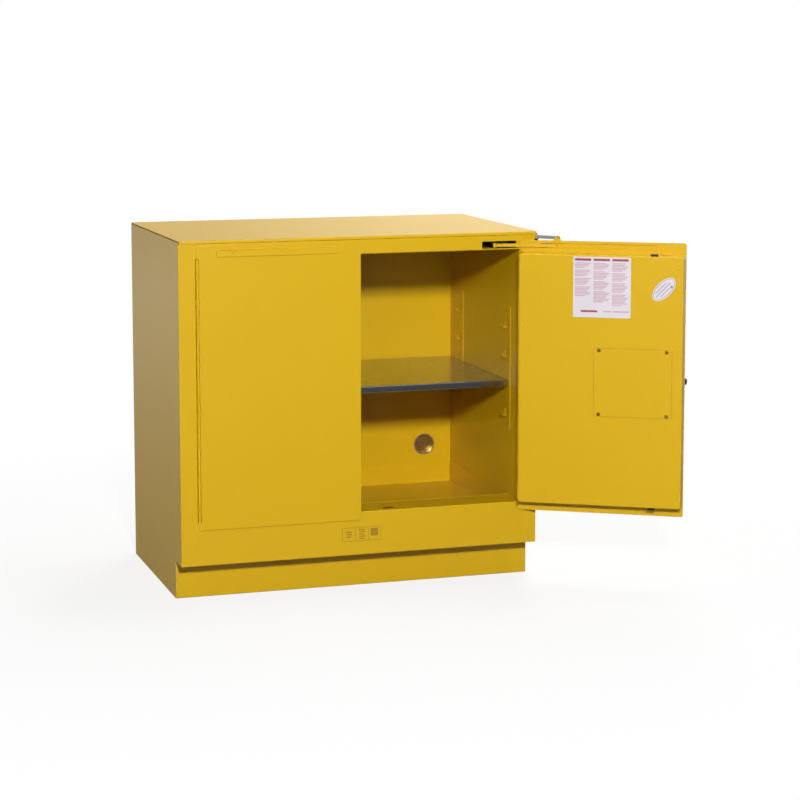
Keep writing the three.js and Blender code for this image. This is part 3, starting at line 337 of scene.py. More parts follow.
def bevel_edges(piece, width, **settings):
    """Bevels a piece, then smooths the bevels and keeps flat faces flat."""
    finish_modifier(piece, "BEVEL", width=width, **settings)
    smooth_faces(piece)
    finish_modifier(piece, "WEIGHTED_NORMAL", keep_sharp=True, weight=50)


def round_edges(piece, width):
    """Bevels every sharp edge, as far as the faces beside it allow."""
    bevel_edges(piece, width, segments=2, limit_method="ANGLE", angle_limit=SHARP_FROM,
                use_clamp_overlap=True)


print("edges are bevelled from", round(math.degrees(SHARP_FROM)), "degrees")

# %% [markdown]
# ## Wider folds
# The closer tracks are strips folded round a wider radius, which catches a line of light. That radius is
# wider than half the sheet is thick, and on a cut edge it would eat the sheet away. So it goes only to the
# outward folds between two wide faces. How wide a face is gets measured across it, from the middle of the
# fold, and bevel weights tell the modifier which edges to round by how much.

# %% Fold helpers
SAME_PLACE = 0.01 * MM
WIDE_FACE = 3 * MM
FAR = 1.0  # deeper than any face


def depth_behind(mesh, face, start, end):
    """How far a face reaches inwards from the middle of its edge from start to end."""
    middle = (start + end) / 2
    along = (end - start).normalized()
    inward = face.normal.cross(along)
    corners = [mesh.vertices[i].co - middle for i in face.vertices]
    flat = [(corner.dot(along), corner.dot(inward)) for corner in corners]
    reach = FAR
    for (u1, w1), (u2, w2) in zip(flat, flat[1:] + flat[:1]):
        if u1 * u2 <= 0 and u1 != u2:
            crossing = w1 - u1 * (w2 - w1) / (u2 - u1)
            if crossing > SAME_PLACE:
                reach = min(reach, crossing)
    return reach


def round_folds(piece, width, small):
    """Rounds outward folds between wide faces by width and every other sharp edge by small."""
    mesh = piece.data
    sides = {}
    for face in mesh.polygons:
        ring = list(face.vertices)
        for first, second in zip(ring, ring[1:] + ring[:1]):
            sides.setdefault((min(first, second), max(first, second)), []).append((face, first, second))
    weights = mesh.attributes.new("bevel_weight_edge", "FLOAT", "EDGE").data
    folds = 0
    for edge in mesh.edges:
        pair = sides.get(tuple(sorted(edge.vertices)), [])
        if len(pair) != 2 or pair[0][0].normal.angle(pair[1][0].normal) < SHARP_FROM:
            continue
        (face, first, second), (other, *_) = pair
        start, end = mesh.vertices[first].co, mesh.vertices[second].co
        outward = face.normal.cross(other.normal).dot(end - start) > 0
        wide = min(depth_behind(mesh, face, start, end), depth_behind(mesh, other, end, start)) > WIDE_FACE
        weights[edge.index].value = 1.0 if outward and wide else small / width
        folds += outward and wide
    bevel_edges(piece, width, segments=3, limit_method="WEIGHT", use_clamp_overlap=False)
    return folds


print("a face counts as wide from", WIDE_FACE, "m")

# %% Soften helper
NEARLY_FLAT = math.radians(0.5)


def soften(name, width, finish=None, fold=0.0):
    """Makes the softened copy that stands for a node."""
    piece = bpy.data.objects.new(f"{name}_finished", nodes[name].data.copy())
    bpy.context.scene.collection.objects.link(piece)
    edit(piece)
    bpy.ops.mesh.select_all(action="SELECT")
    bpy.ops.mesh.remove_doubles(threshold=SAME_PLACE)
    bpy.ops.mesh.dissolve_limited(angle_limit=NEARLY_FLAT)
    bpy.ops.object.mode_set(mode="OBJECT")
    if fold > 0:
        print(name, "folds:", round_folds(piece, fold, width))
    else:
        round_edges(piece, width)
    piece.data.materials.clear()
    piece.data.materials.append(finish or finish_of[slot_of[name]])
    body = next(b for b, members in frame["record"]["behaviour"]["bodies"].items() if name in members)
    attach(piece, body)
    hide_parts(name)
    return piece


print("nodes to soften:", len(slot_of))

# %% Soften the folded sheet
SHEET_EDGE = 0.35 * MM
TRACK_FOLD = 1.1 * MM
SHEET_NODES = [
    "left_side_panel", "right_side_panel", "top_panel", "back_panel", "bottom_panel", "toe_kick",
    "rear_base_rail", "left_stile", "right_stile", "header_rail", "bottom_rail", "left_side_liner",
    "right_side_liner", "back_liner", "ceiling_liner", "sump_pan", "left_front_shelf_standard",
    "right_front_shelf_standard", "left_rear_shelf_standard", "right_rear_shelf_standard", "shelf",
    "left_door_skin", "right_door_skin", "left_door_pan", "right_door_pan", "latch_cover",
    "left_closer_track", "right_closer_track", "left_link_bracket", "right_link_bracket",
]
faces = 0
for name in SHEET_NODES:
    fold = TRACK_FOLD if "closer_track" in name else 0.0
    faces += len(soften(name, SHEET_EDGE, fold=fold).data.polygons)
print("softened", len(SHEET_NODES), "sheet parts,", faces, "faces")

# %% Soften the turned, moulded and plated parts
HARDWARE_EDGE = 0.2 * MM
HARDWARE_NODES = [
    "left_hinge_frame_leaf", "left_hinge_door_leaf", "left_hinge_pin", "right_hinge_frame_leaf",
    "right_hinge_door_leaf", "right_hinge_pin", "left_closer_body", "right_closer_body", "left_closer_arm",
    "right_closer_arm", "link_post", "fusible_link", "upper_vent_sleeve", "lower_vent_sleeve",
    "upper_flame_arrester", "lower_flame_arrester", "upper_vent_bung", "lower_vent_bung", "earth_screw",
    "latch_bearing", "latch_cam", "top_latch_rod", "bottom_latch_rod", "handle_rose", "handle_lever",
    "lock_cylinder", "front_left_foot", "front_right_foot", "rear_left_foot", "rear_right_foot",
]
ROUNDED_MORE = {"handle_rose": 1.2 * MM, "handle_lever": 2.5 * MM, "upper_vent_bung": 0.8 * MM,
                "lower_vent_bung": 0.8 * MM}
DARK_NODES = ["top_latch_rod", "bottom_latch_rod", "left_closer_body", "right_closer_body", "link_post"]
faces = 0
for name in HARDWARE_NODES:
    dark = dark_zinc if name in DARK_NODES else None
    faces += len(soften(name, ROUNDED_MORE.get(name, HARDWARE_EDGE), finish=dark).data.polygons)
print("softened", len(HARDWARE_NODES), "hardware parts,", faces, "faces")

# %% [markdown]
# ## Parts that hang on the open door
# The right door stands open, so its inner face is turned. It is easier to build a screw or a film for a door
# that stands square: x runs from the hinge pin to the free edge, y points out of the door's outer face and z
# is up. One helper then turns the piece about the pin and moves it into place, inside its mesh, so that the
# object itself stays at the origin.

# %% Door frame helpers
RIGHT_PIN = Vector((0.400, -0.283, 0.0))
DOOR_TURN = math.radians(-31.3)
PAN_FACE = -37 * MM  # inner face of the pan, in the door's own frame
COVER_FACE = -38.5 * MM


def settle(piece):
    """Puts the object's place and turn into its mesh."""
    only(piece)
    bpy.ops.object.transform_apply(location=True, rotation=True, scale=True)
    return piece


def fasten(piece, body):
    """Lets a new piece ride on a body."""
    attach(piece, body)


def hang_on_right_door(piece):
    """Moves a finished piece from the square door's frame to the open door."""
    settle(piece)
    piece.data.transform(Matrix.Translation(RIGHT_PIN) @ Matrix.Rotation(DOOR_TURN, 4, "Z"))
    piece.data.update()
    fasten(piece, "right_door")


def name_piece(name, finish):
    """Names the newest object and gives it its finish."""
    piece = bpy.context.object
    piece.name = name
    piece.data.name = name
    piece.data.materials.clear()
    piece.data.materials.append(finish)
    return piece


def copy_of(piece, name):
    """A copy with its own mesh."""
    twin = piece.copy()
    twin.data = piece.data.copy()
    twin.name = name
    twin.data.name = name
    bpy.context.scene.collection.objects.link(twin)
    return twin


def join_as(name, pieces):
    """Joins pieces into one object."""
    only(pieces[0])
    for piece in pieces:
        piece.select_set(True)
    bpy.ops.object.join()
    joined = bpy.context.object
    joined.name = name
    return joined


free_edge = Matrix.Rotation(DOOR_TURN, 3, "Z") @ Vector((1, 0, 0))
print("the free edge points along", tuple(round(v, 3) for v in free_edge))

# %% [markdown]
# ## Shaping by hand
# A screw, a washer and a round sticker start as a flat cylinder, and a plate as a flat box. Two more moves
# come back in what follows: edges are picked by the places of their two ends and bevelled, and one piece is
# cut out of another with a Boolean, after which the cutter is thrown away.

# %% Shaping helpers
UPRIGHT = (math.pi / 2, 0, 0)  # stands a flat primitive up, so that it faces -y
ROUND_STEPS = 5


def round_blank(name, finish, points, radius, thick, middle):
    """A flat cylinder that faces -y."""
    bpy.ops.mesh.primitive_cylinder_add(vertices=points, radius=radius, depth=thick, rotation=UPRIGHT,
                                        location=middle)
    return settle(name_piece(name, finish))


def bevel_where(piece, wanted, width):
    """Rounds the edges whose two ends pass a test."""
    edit(piece)
    bpy.ops.mesh.select_mode(type="EDGE")
    bpy.ops.object.mode_set(mode="OBJECT")
    for edge in piece.data.edges:
        edge.select = wanted(*(piece.data.vertices[i].co for i in edge.vertices))
    bpy.ops.object.mode_set(mode="EDIT")
    bpy.ops.mesh.bevel(offset=width, segments=ROUND_STEPS)
    bpy.ops.mesh.select_mode(type="VERT")
    bpy.ops.object.mode_set(mode="OBJECT")


def cut_out(piece, cutter):
    """Cuts one piece out of another and throws it away."""
    finish_modifier(piece, "BOOLEAN", object=cutter, operation="DIFFERENCE")
    bpy.data.objects.remove(cutter)


print("round edges get", ROUND_STEPS, "steps")

# %% [markdown]
# ## Cover screws
# Four oval-head screws hold the access cover, each on a cup washer. A head is a short cylinder with a domed
# face: its rim is bevelled in several steps, and the cross for the driver is cut by two thin boxes with a
# Boolean. The washer is a lower, wider cylinder joined to it. One screw is modelled and copied, and each of
# the four is turned by its own angle, because no fitter lines the crosses up.

# %% Cover screws
DOME = 0.72  # part of the height that the rim's bevel takes
BLADE_LONG, BLADE_THICK = 1.1, 0.24  # parts of the head's radius
RIM_FROM = 0.9  # part of the height above which a point belongs to the rim
WASHER_WIDE = 1.18  # part of the head's radius
WASHER_HIGH, WASHER_EDGE = 0.3, 0.12  # parts of the head's height


def cross_screw(name, radius, height):
    """An oval head on its washer. It faces -y, with its seat in the plane y = 0."""
    head = round_blank(name, yellow_zinc, 32, radius, height, (0, -height / 2, 0))
    bevel_where(head, lambda a, b: max(a.y, b.y) < -height * RIM_FROM, height * DOME)
    for turn in (math.pi / 4, -math.pi / 4):
        bpy.ops.mesh.primitive_cube_add(size=1, location=(0, -height, 0), rotation=(0, turn, 0))
        blade = bpy.context.object
        blade.scale = (radius * BLADE_LONG, height, radius * BLADE_THICK)
        cut_out(head, settle(blade))
    washer = round_blank(name + "_washer", yellow_zinc, 40, radius * WASHER_WIDE, height * WASHER_HIGH,
                         (0, -height * WASHER_HIGH / 2, 0))
    round_edges(washer, height * WASHER_EDGE)
    head = join_as(name, [head, washer])
    smooth_faces(head, degrees=35)
    return head


screw = cross_screw("cover_screw_1", 4.0 * MM, 2.6 * MM)
SCREW_PLACES = [(199, 582), (362, 582), (199, 427), (362, 427)]
SCREW_TURNS = (0.2, -0.5, 0.9, 0.4)
screws = [screw] + [copy_of(screw, f"cover_screw_{i}") for i in (2, 3, 4)]
for piece, (along, height), turn in zip(screws, SCREW_PLACES, SCREW_TURNS):
    piece.data.transform(Matrix.Rotation(turn, 4, "Y"))
    piece.data.transform(Matrix.Translation((along * MM, COVER_FACE, height * MM)))
    hang_on_right_door(piece)
print("screws:", [p.name for p in screws])

# %% [markdown]
# ## Gasket of the access cover
# The cover is drawn down on a thin ochre gasket. Only its edge shows, as a fine line round the cover that is
# darker than the paint: painted shade, standing in for the shadow in the gap between cover and pan.
# The ring is a rounded plate with a smaller one cut out of it.

# %% Cover gasket
COVER_START, COVER_END = 187, 374
COVER_LOW, COVER_HIGH = 422, 587
GASKET_LIP = 0.7  # how far it shows past the cover's edge
GASKET_INSIDE = 2  # how far it reaches under the cover
GASKET_THICK = 0.9


def rounded_plate(name, middle, wide, tall, corner, thick):
    """A rounded plate that faces -y, with its back in the plane y = middle[1]."""
    bpy.ops.mesh.primitive_cube_add(size=1, location=(middle[0], middle[1] - thick / 2, middle[2]))
    plate = name_piece(name, ochre_print_and_painted_shade)
    plate.scale = (wide, thick, tall)
    settle(plate)
    bevel_where(plate, lambda a, b: abs(a.y - b.y) > thick / 2, corner)
    return plate


cover_along, cover_height = (COVER_START + COVER_END) / 2 * MM, (COVER_LOW + COVER_HIGH) / 2 * MM
cover_wide, cover_tall = (COVER_END - COVER_START) * MM, (COVER_HIGH - COVER_LOW) * MM
more, less = 2 * GASKET_LIP * MM, 2 * GASKET_INSIDE * MM
# The edge that shows past the cover is painted shade: a darker line for the shadow in the gap round it.
gasket_shade_line = rounded_plate("cover_gasket_shade_line", (cover_along, PAN_FACE, cover_height), cover_wide + more,
                       cover_tall + more, 4.5 * MM, GASKET_THICK * MM)
cut_out(gasket_shade_line, rounded_plate("gasket_opening", (cover_along, PAN_FACE + 1 * MM, cover_height),
                              cover_wide - less, cover_tall - less, 3 * MM, 4 * MM))
hang_on_right_door(gasket_shade_line)
print("gasket faces:", len(gasket_shade_line.data.polygons))

# %% [markdown]
# ## Rivets
# The pan is riveted to the skin along its edges, the back panel to the folds of the sides and the top, and
# the rivets are painted over. Each one is a low dome with the small hollow that its mandrel leaves: a sphere
# is squashed and cut in half, and a thin cylinder is cut out of its top. It is modelled once and copied, and
# the copies of a panel are joined, because they belong to one row.

# %% Pan and back rivets
MANDREL = 0.3  # part of the head's radius


def blind_rivet(name, radius, height):
    """A painted rivet head that faces -y."""
    bpy.ops.mesh.primitive_uv_sphere_add(segments=20, ring_count=12, radius=radius, location=(0, 0, 0))
    dome = name_piece(name, yellow_powder)
    dome.scale = (1, height / radius, 1)
    settle(dome)
    edit(dome)
    bpy.ops.mesh.select_all(action="SELECT")
    bpy.ops.mesh.bisect(plane_co=(0, 0, 0), plane_no=(0, 1, 0), use_fill=True, clear_outer=True,
                        threshold=0.001 * MM)
    bpy.ops.mesh.select_all(action="DESELECT")
    bpy.ops.object.mode_set(mode="OBJECT")
    cut_out(dome, round_blank("mandrel", yellow_powder, 16, radius * MANDREL, height, (0, -height, 0)))
    smooth_faces(dome)
    return dome


rivet_model = blind_rivet("rivet_model", 3.0 * MM, 1.2 * MM)
BACK_FACE = 280 * MM
PAN_PLACES = [(12, 776), (12, 641), (12, 368), (388, 782), (388, 591), (388, 367), (388, 231)]
BACK_PLACES = [(x, 848) for x in (-420, -210, 0, 210, 420)]
BACK_PLACES += [(x, z) for x in (-434, 434) for z in (150, 390, 630)]


def rivet_row(name, places, plane, turn):
    """Copies the rivet to places across and up a plane, and joins the copies."""
    rivets = [copy_of(rivet_model, f"{name}_{i + 1}") for i in range(len(places))]
    for piece, (across, height) in zip(rivets, places):
        piece.data.transform(Matrix.Rotation(turn, 4, "Z"))
        piece.data.transform(Matrix.Translation((across * MM, plane, height * MM)))
    return join_as(name + "s", rivets)


hang_on_right_door(rivet_row("pan_rivet", PAN_PLACES, PAN_FACE, 0.0))
fasten(rivet_row("back_rivet", BACK_PLACES, BACK_FACE, math.pi), "carcass")
bpy.data.objects.remove(rivet_model)
print("rivets:", len(PAN_PLACES), "in the pan and", len(BACK_PLACES), "in the back")

# %% [markdown]
# ## Printed films
# Films are a tenth of a millimetre thick, so a plane with rounded corners, extruded by that much, is enough.
# The print lies on them as still thinner pieces: three bars over three fields of ruled lines on the door's
# sheet, and plain marks on the oval sticker and on the small panel below the doors. None carries lettering.

# %% Film helpers
FILM = 0.12 * MM
INK = 0.03 * MM


def flat_piece(name, finish, centre, width, height, corner, thick):
    """A thin rounded rectangle that faces -y, with its back in the plane y = centre[1]."""
    bpy.ops.mesh.primitive_plane_add(size=1, location=centre, rotation=UPRIGHT)
    film = name_piece(name, finish)
    film.scale = (width, height, 1)
    settle(film)
    edit(film)
    bpy.ops.mesh.select_all(action="SELECT")
    bpy.ops.mesh.bevel(offset=corner, segments=ROUND_STEPS, affect="VERTICES")
    bpy.ops.mesh.extrude_region_move(TRANSFORM_OT_translate={"value": (0, -thick, 0)})
    bpy.ops.mesh.select_all(action="SELECT")
    bpy.ops.mesh.normals_make_consistent(inside=False)
    bpy.ops.object.mode_set(mode="OBJECT")
    return film


print("film", FILM, "ink", INK)

# %% [markdown]
# ## The sheet label
# The label on the door's pan has three columns of print below three red bars, and a line of small print at
# its foot. What matters from a distance is the rhythm: paragraphs of several lines, each with a short last
# line and a ragged right edge. So every line is one thin bar, and its length follows from its row and column
# by a fixed rule, which gives the same label each time.

# %% Sheet label on the door
SHEET_LOW, SHEET_HIGH = 661, 807
SHEET_START, SHEET_END = 135, 274
COLUMN_START, COLUMN_PITCH, COLUMN_WIDTH = 139, 45, 39
HEADING_HEIGHT, HEADING_TALL = 800.0, 5.5
FIRST_LINE, LINE_PITCH, LINE_TALL = 791.5, 3.5, 2.1
PARAGRAPHS = ((4, 5, 5, 7), (5, 6, 6, 8), (6, 6, 7, 8))  # lines in each paragraph, column by column
PARAGRAPH_GAP = 0.8  # of a line's pitch
LONGEST, RAGGED, LAST = 0.97, 0.07, 0.62  # parts of the column's width
FOOT_HEIGHT = 676
FOOT_BAR, FOOT_BAR_TALL = (154, 40), 4.5
SMALL_PRINT, SMALL_PRINT_TALL = ((208, 20), (232, 38)), 3.2
sheet = flat_piece("door_sheet_label", white_film,
                   ((SHEET_START + SHEET_END) / 2 * MM, PAN_FACE, (SHEET_LOW + SHEET_HIGH) / 2 * MM),
                   (SHEET_END - SHEET_START) * MM, (SHEET_HIGH - SHEET_LOW) * MM, 3 * MM, FILM)


def ink_bar(name, finish, along, height, width, tall):
    """A printed bar on the sheet. Its near end and its middle height are given."""
    return flat_piece(name, finish, ((along + width / 2) * MM, PAN_FACE - FILM, height * MM),
                      width * MM, tall * MM, min(0.5, tall / 3) * MM, INK)


bars, lines = [], []
for column, paragraphs in enumerate(PARAGRAPHS):
    start = COLUMN_START + column * COLUMN_PITCH
    bars.append(ink_bar(f"bar_{column}", red_print, start, HEADING_HEIGHT, COLUMN_WIDTH, HEADING_TALL))
    height = FIRST_LINE
    for paragraph in paragraphs:
        for row in range(paragraph):
            part = LAST if row == paragraph - 1 else LONGEST - RAGGED * ((row * 5 + column * 3) % 4)
            lines.append(ink_bar(f"line_{len(lines)}", rose_print, start, height, COLUMN_WIDTH * part,
                                 LINE_TALL))
            height -= LINE_PITCH
        height -= LINE_PITCH * PARAGRAPH_GAP
start, width = FOOT_BAR
bars.append(ink_bar("bar_foot", red_print, start, FOOT_HEIGHT, width, FOOT_BAR_TALL))
for start, width in SMALL_PRINT:
    lines.append(ink_bar(f"line_{len(lines)}", rose_print, start, FOOT_HEIGHT, width, SMALL_PRINT_TALL))
sheet_bars = join_as("door_sheet_bars", bars)
sheet_lines = join_as("door_sheet_lines", lines)
for piece in (sheet, sheet_bars, sheet_lines):
    hang_on_right_door(piece)
print("printed lines:", len(lines))

# %% [markdown]
# ## The oval sticker
# A cylinder of radius one is stretched to an oval by a diagonal matrix, which is a scale without a change to
# the object. The rim is an oval with a smaller one cut out of it. All of it is built level and upright, and
# the finished sticker is tilted as the real one was stuck on.

# %% Oval sticker on the door
OVAL_PLACE = Vector((353 * MM, PAN_FACE, 733 * MM))
OVAL_TILT = math.radians(-46)
OVAL_HALVES = (35, 18.5)
RIM_OUTSIDE, RIM_INSIDE = (32.6, 16.1), (31.4, 14.9)
MARKS = ((7, 19), (0, 25), (-7, 15))  # height and half length of each line
MARK_MIDDLE, MARK_TALL = -3, 1.6
DOT_PLACE, DOT_RADIUS = (17, -8.5), 3.1


def oval_disc(name, finish, halves, thick):
    """An oval plate with its back in the plane y = 0, long along x."""
    disc = round_blank(name, finish, 72, 1, thick, (0, -thick / 2, 0))
    disc.data.transform(Matrix.Diagonal((halves[0] * MM, 1, halves[1] * MM, 1)))
    return disc


oval = oval_disc("door_oval_sticker", white_film, OVAL_HALVES, FILM)
rim = oval_disc("oval_rim", grey_print, RIM_OUTSIDE, FILM + INK)
cut_out(rim, oval_disc("oval_rim_inside", grey_print, RIM_INSIDE, 3 * MM))
marks = [rim]
for height, reach in MARKS:
    marks.append(flat_piece(f"oval_mark_{len(marks)}", grey_print, (MARK_MIDDLE * MM, -FILM, height * MM),
                            2 * reach * MM, MARK_TALL * MM, MARK_TALL / 4 * MM, INK))
marks.append(round_blank("oval_dot", grey_print, 32, DOT_RADIUS * MM, INK,
                         (DOT_PLACE[0] * MM, -FILM - INK / 2, DOT_PLACE[1] * MM)))
oval_print = join_as("door_oval_print", marks)
for piece in (oval, oval_print):
    piece.data.transform(Matrix.Translation(OVAL_PLACE) @ Matrix.Rotation(OVAL_TILT, 4, "Y"))
    hang_on_right_door(piece)
print("oval print faces:", len(oval_print.data.polygons))

# %% [markdown]
# ## The three-cell panel
# The panel on the rail below the doors is printed straight on the paint in one ochre ink. An outline with
# two dividers makes three cells, with short plain bars in two of them and a square in the third.

# %% Three-cell panel below the doors
RAIL_FACE = -280 * MM
PANEL_MIDDLE = (-3, 141.5)
PANEL_SIZE = (98, 34)
PANEL_CORNER = 4.5
STROKE = 1.2
DIVIDERS = (-15.8, 17.0)
LEFT_BARS, LEFT_TALL = [(-32, 6, 15), (-31, 0, 13), (-32, -6, 11)], 3.4  # place along, place up, length
MIDDLE_BARS = [(0.6, 11, 17), (2.1, 5.5, 14.5), (0.6, 0, 12), (2.1, -5.5, 17), (0.6, -11, 14.5)]
MIDDLE_TALL = 2.8
SQUARE = (32, 3.5, 19)


def rail_mark(x, z, wide, tall, corner=0.6, sunk=0.0, thick=INK):
    """A plain mark on the rail's face, or sunk behind it. It is placed from the panel's middle."""
    centre = ((PANEL_MIDDLE[0] + x) * MM, RAIL_FACE + sunk, (PANEL_MIDDLE[1] + z) * MM)
    return flat_piece("rail_mark", ochre_print_and_painted_shade, centre, wide * MM, tall * MM, corner * MM, thick)


wide, tall = PANEL_SIZE
outline = rail_mark(0, 0, wide, tall, PANEL_CORNER)
cut_out(outline, rail_mark(0, 0, wide - 2 * STROKE, tall - 2 * STROKE, PANEL_CORNER - STROKE,
                           sunk=1 * MM, thick=3 * MM))
panel_parts = [outline]
panel_parts += [rail_mark(x, 0, STROKE, tall - 3 * STROKE, 0.3) for x in DIVIDERS]
panel_parts += [rail_mark(x, z, wide, LEFT_TALL) for x, z, wide in LEFT_BARS]
panel_parts += [rail_mark(x, z, wide, MIDDLE_TALL) for x, z, wide in MIDDLE_BARS]
x, z, wide = SQUARE
panel_parts.append(rail_mark(x, z, wide, wide, 1.5))
panel = settle(join_as("rail_panel_print", panel_parts))
fasten(panel, "carcass")
print("panel faces:", len(panel.data.polygons))

# %% [markdown]
# ## Welded joints
# The front frame is made of four folded lengths. Where a rail meets an upright, the joint is welded, ground
# and painted over, so that only a faint line is left. A thin bead fills each of the four joints, a little
# below the surface. It takes its place and its height from the rails' own boxes.

# %% Weld beads in the front frame
JOINT_GAP = 0.3 * MM
BEAD_SINK = 0.65 * MM
BEAD_DEEP = 1.0 * MM
BEAD_BITE = 0.1 * MM  # how far a bead is wider than its gap
frame_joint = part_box("header_rail")[1][0]
beads = []
for rail in ("header_rail", "bottom_rail"):
    (_, _, low), (_, _, high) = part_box(rail)
    for side in (-1, 1):
        place = (side * (frame_joint + JOINT_GAP / 2), RAIL_FACE + BEAD_SINK, (low + high) / 2)
        bpy.ops.mesh.primitive_cube_add(size=1, location=place)
        bead = name_piece(f"weld_bead_{len(beads) + 1}", yellow_powder)
        bead.scale = (JOINT_GAP + BEAD_BITE, BEAD_DEEP, high - low)
        beads.append(settle(bead))
for bead in beads:
    fasten(bead, "carcass")
print("beads at x =", round(frame_joint, 4), [tuple(round(v, 4) for v in b.dimensions) for b in beads])

# %% [markdown]
# ## The floor
# The cabinet stands on plain pale paper. In a studio the paper is lit until it turns white behind the
# object. Here the floor fades to white with its distance, but only for the camera, so the cabinet keeps its
# shadow and gets no extra light. Light Path tells the rays apart: bounced light finds a darker paper, because
# a real room swallows much of it, and mirror-like surfaces see a grey that grows paler with the distance.

# %% Floor paper
PAPER_FIBRE = 40.0  # 25 mm, coarser than real fibre, so that it shows
WHITE = (1.0, 1.0, 1.0, 1.0)
FADE_START, FADE_END = 0.6, 1.9  # metres from the cabinet's middle
FADED_NEAR, FADED_FAR = 0.80, 1.0  # how much of it is plain white
PALE_END = 7.0
MIRRORED_NEAR, MIRRORED_FAR = 0.25, 0.75

paper, tree, where = start_material("pale_floor_paper")
rays = add_node(tree, "LightPath").outputs
fibre = add_node(tree, "TexNoise", {"Vector": where, "Scale": PAPER_FIBRE, "Detail": 3.0})
pale, dim = [
    add_node(tree, "Mix", {"Factor": fibre, "A": linear(light), "B": linear(dark)}, data_type="RGBA")
    for light, dark in (("#f0f0f0", "#ededed"), ("#969696", "#929292"))
]
colour = add_node(tree, "Mix", {"Factor": rays["Is Diffuse Ray"], "A": pale, "B": dim}, data_type="RGBA")
matt = add_node(tree, "BsdfPrincipled", {"Base Color": colour, "Roughness": 0.9, "Specular IOR Level": 0.0})

distance = add_node(tree, "VectorMath", {0: where}, operation="LENGTH")
fading = add_node(tree, "MapRange", {"Value": distance, "From Min": FADE_START, "From Max": FADE_END,
                                     "To Min": FADED_NEAR, "To Max": FADED_FAR})
seen = add_node(tree, "Math", {0: rays["Is Camera Ray"], 1: rays["Is Transmission Ray"]}, operation="MAXIMUM")
share = add_node(tree, "Math", {0: seen, 1: fading}, operation="MULTIPLY")
white = add_node(tree, "Emission", {"Color": WHITE, "Strength": 1.0})
faded = add_node(tree, "MixShader", {"Fac": share, 1: matt, 2: white})

paling = add_node(tree, "MapRange", {"Value": distance, "From Min": FADE_START, "From Max": PALE_END,
                                     "To Min": MIRRORED_NEAR, "To Max": MIRRORED_FAR})
mirrored = add_node(tree, "Emission", {"Color": WHITE, "Strength": paling})
both = add_node(tree, "MixShader", {"Fac": rays["Is Glossy Ray"], 1: faded, 2: mirrored})
add_node(tree, "OutputMaterial", {"Surface": both})
print("nodes in the paper:", len(tree.nodes))

# %% Floor
FLOOR_SIZE = 40
FLOOR_LEVEL = -0.2 * MM  # just below the feet
bpy.ops.mesh.primitive_plane_add(size=FLOOR_SIZE, location=(0, 0, FLOOR_LEVEL))
floor = bpy.context.object
floor.name = "studio_floor"
floor.data.materials.append(paper)
print("floor", floor.dimensions[:])

# %% [markdown]
# ## What the shiny surfaces mirror
# Gloss paint and metal show what stands round them, and an empty white room would wash them out. Three
# planes stand in for the rest of a studio: a dark curtain in front, a dark cloth on the floor before the
# cabinet, and a paler curtain behind that turns from grey at the left to nearly white at the right. Only
# mirror-like surfaces see them, so they neither light the cabinet nor throw shadows.

# %% Curtains that only mirror-like surfaces see
TONE_START, TONE_END = 1.2, 2.8  # metres to the right, where the tone changes
DARK_CLOTH = (0.08, 0.08)
PALE_CLOTH = (0.5, 0.85)
FOLDS = 3.0  # a third of a metre each


def curtain(name, place, turn, size, tones):
    """A glowing plane for reflections, of one grey at the left and of another at the right."""
    bpy.ops.mesh.primitive_plane_add(size=1, location=place, rotation=turn)
    cloth = bpy.context.object
    cloth.name = name
    cloth.scale = (*size, 1)
    material, tree, where = start_material(name + "_cloth")
    across = add_node(tree, "SeparateXYZ", {"Vector": where})
    grey = add_node(tree, "MapRange", {"Value": across, "From Min": TONE_START, "From Max": TONE_END,
                                       "To Min": tones[0], "To Max": tones[1]})
    folds = add_node(tree, "TexNoise", {"Vector": where, "Scale": FOLDS, "Detail": 2.0})
    weave = add_node(tree, "MapRange", {"Value": folds, "To Min": 0.9, "To Max": 1.1})
    shade = add_node(tree, "Math", {0: grey, 1: weave}, operation="MULTIPLY")
    glow = add_node(tree, "Emission", {"Color": WHITE, "Strength": shade})
    add_node(tree, "OutputMaterial", {"Surface": glow})
    cloth.data.materials.append(material)
    cloth.visible_camera = False
    cloth.visible_diffuse = False
    cloth.visible_transmission = False
    cloth.visible_shadow = False
    settle(cloth)
    return cloth


cloths = [
    curtain("front_curtain", (0, -7.5, 3), UPRIGHT, (24, 6.4), DARK_CLOTH),
    curtain("front_floor_cloth", (0, -4.2, 0.5 * MM), (0, 0, 0), (24, 6.4), DARK_CLOTH),
    curtain("rear_curtain", (0, 7.5, 4), UPRIGHT, (40, 8.4), PALE_CLOTH),
]
print("curtains:", [cloth.name for cloth in cloths])

# %% [markdown]
# ## Sky and lamps
# The main light stands beside the camera, a little above the doors, and is small, so the folds and ledges
# throw clear shadows: below the header, below the door's pan and below the rail. A wide soft light hangs
# over the cabinet, one brightens its top and its back from behind, one its left side, and a weak sky fills
# the rest. The sky is white only where the camera or a mirror-like surface looks at it, so it doesn't flood
# the cabinet with light.

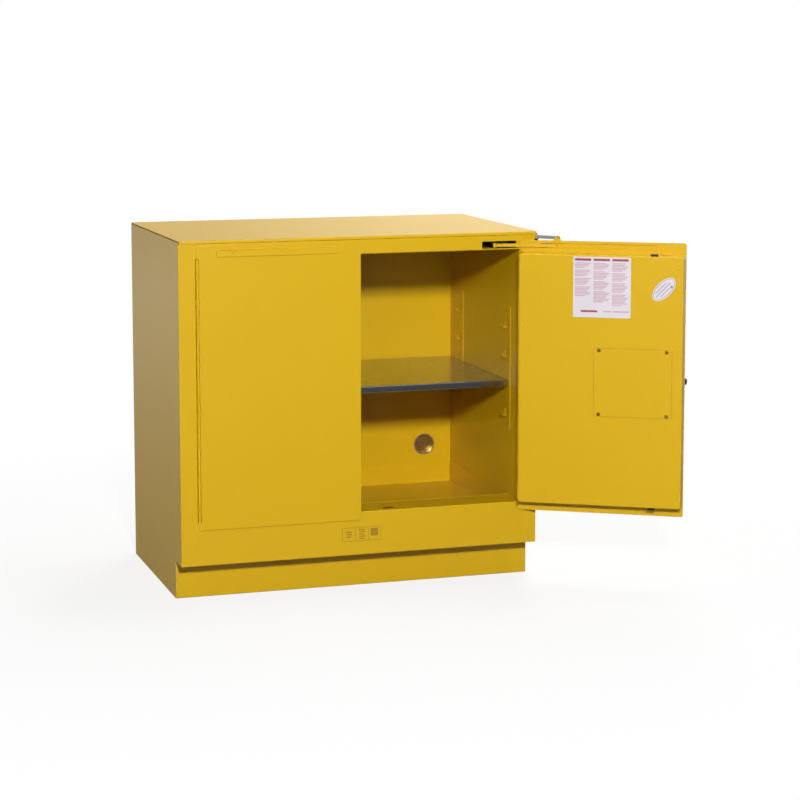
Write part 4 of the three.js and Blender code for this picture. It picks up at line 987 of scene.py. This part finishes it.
# %% Sky
SKY_LIGHT, SKY_SEEN = 0.12, 1.0
world = bpy.data.worlds.new("white_studio")
bpy.context.scene.world = world
world.use_nodes = True
tree = world.node_tree
tree.nodes.clear()
rays = add_node(tree, "LightPath").outputs
seen = add_node(tree, "Math", {0: rays["Is Camera Ray"], 1: rays["Is Glossy Ray"]}, operation="MAXIMUM")
seen = add_node(tree, "Math", {0: seen, 1: rays["Is Transmission Ray"]}, operation="MAXIMUM")
strength = add_node(tree, "MapRange", {"Value": seen, "To Min": SKY_LIGHT, "To Max": SKY_SEEN})
sky = add_node(tree, "Background", {"Color": WHITE, "Strength": strength})
add_node(tree, "OutputWorld", {"Surface": sky})
bpy.context.scene.view_settings.view_transform = "Standard"
print("sky nodes:", len(tree.nodes))


# %% Lamps
def soft_light(name, place, target, size, power):
    """A square soft light that faces the target. Its size is in metres and its power in watts."""
    lamp = bpy.data.lights.new(name, "AREA")
    lamp.shape = "SQUARE"
    lamp.size = size
    lamp.energy = power
    holder = bpy.data.objects.new(name, lamp)
    bpy.context.scene.collection.objects.link(holder)
    holder.location = place
    holder.rotation_euler = (Vector(target) - Vector(place)).to_track_quat("-Z", "Y").to_euler()
    return holder


MIDDLE = Vector((0.1, -0.2, 0.45))
KEY_TURN = math.radians(13)  # to the left of straight ahead
KEY_RISE = math.radians(20)
KEY_FAR = 5.2
KEY_SIZE, KEY_POWER = 0.35, 224
key_place = MIDDLE - KEY_FAR * direction(KEY_TURN, -KEY_RISE)
soft_light("key_light", key_place, MIDDLE, KEY_SIZE, KEY_POWER)
overhead = soft_light("overhead_light", (1.1, 0.2, 3.1), (0.5, 0.0, 0.86), 1.8, 48)
rear = soft_light("rear_light", (2.0, 3.6, 2.3), (0.1, 0.2, 0.7), 1.5, 110)
side = soft_light("side_light", (-4.2, -0.2, 1.1), (-0.44, 0.0, 0.45), 1.6, 33)
for lamp in (overhead, rear, side):
    lamp.visible_glossy = False
print("key light at", tuple(round(v, 2) for v in key_place))
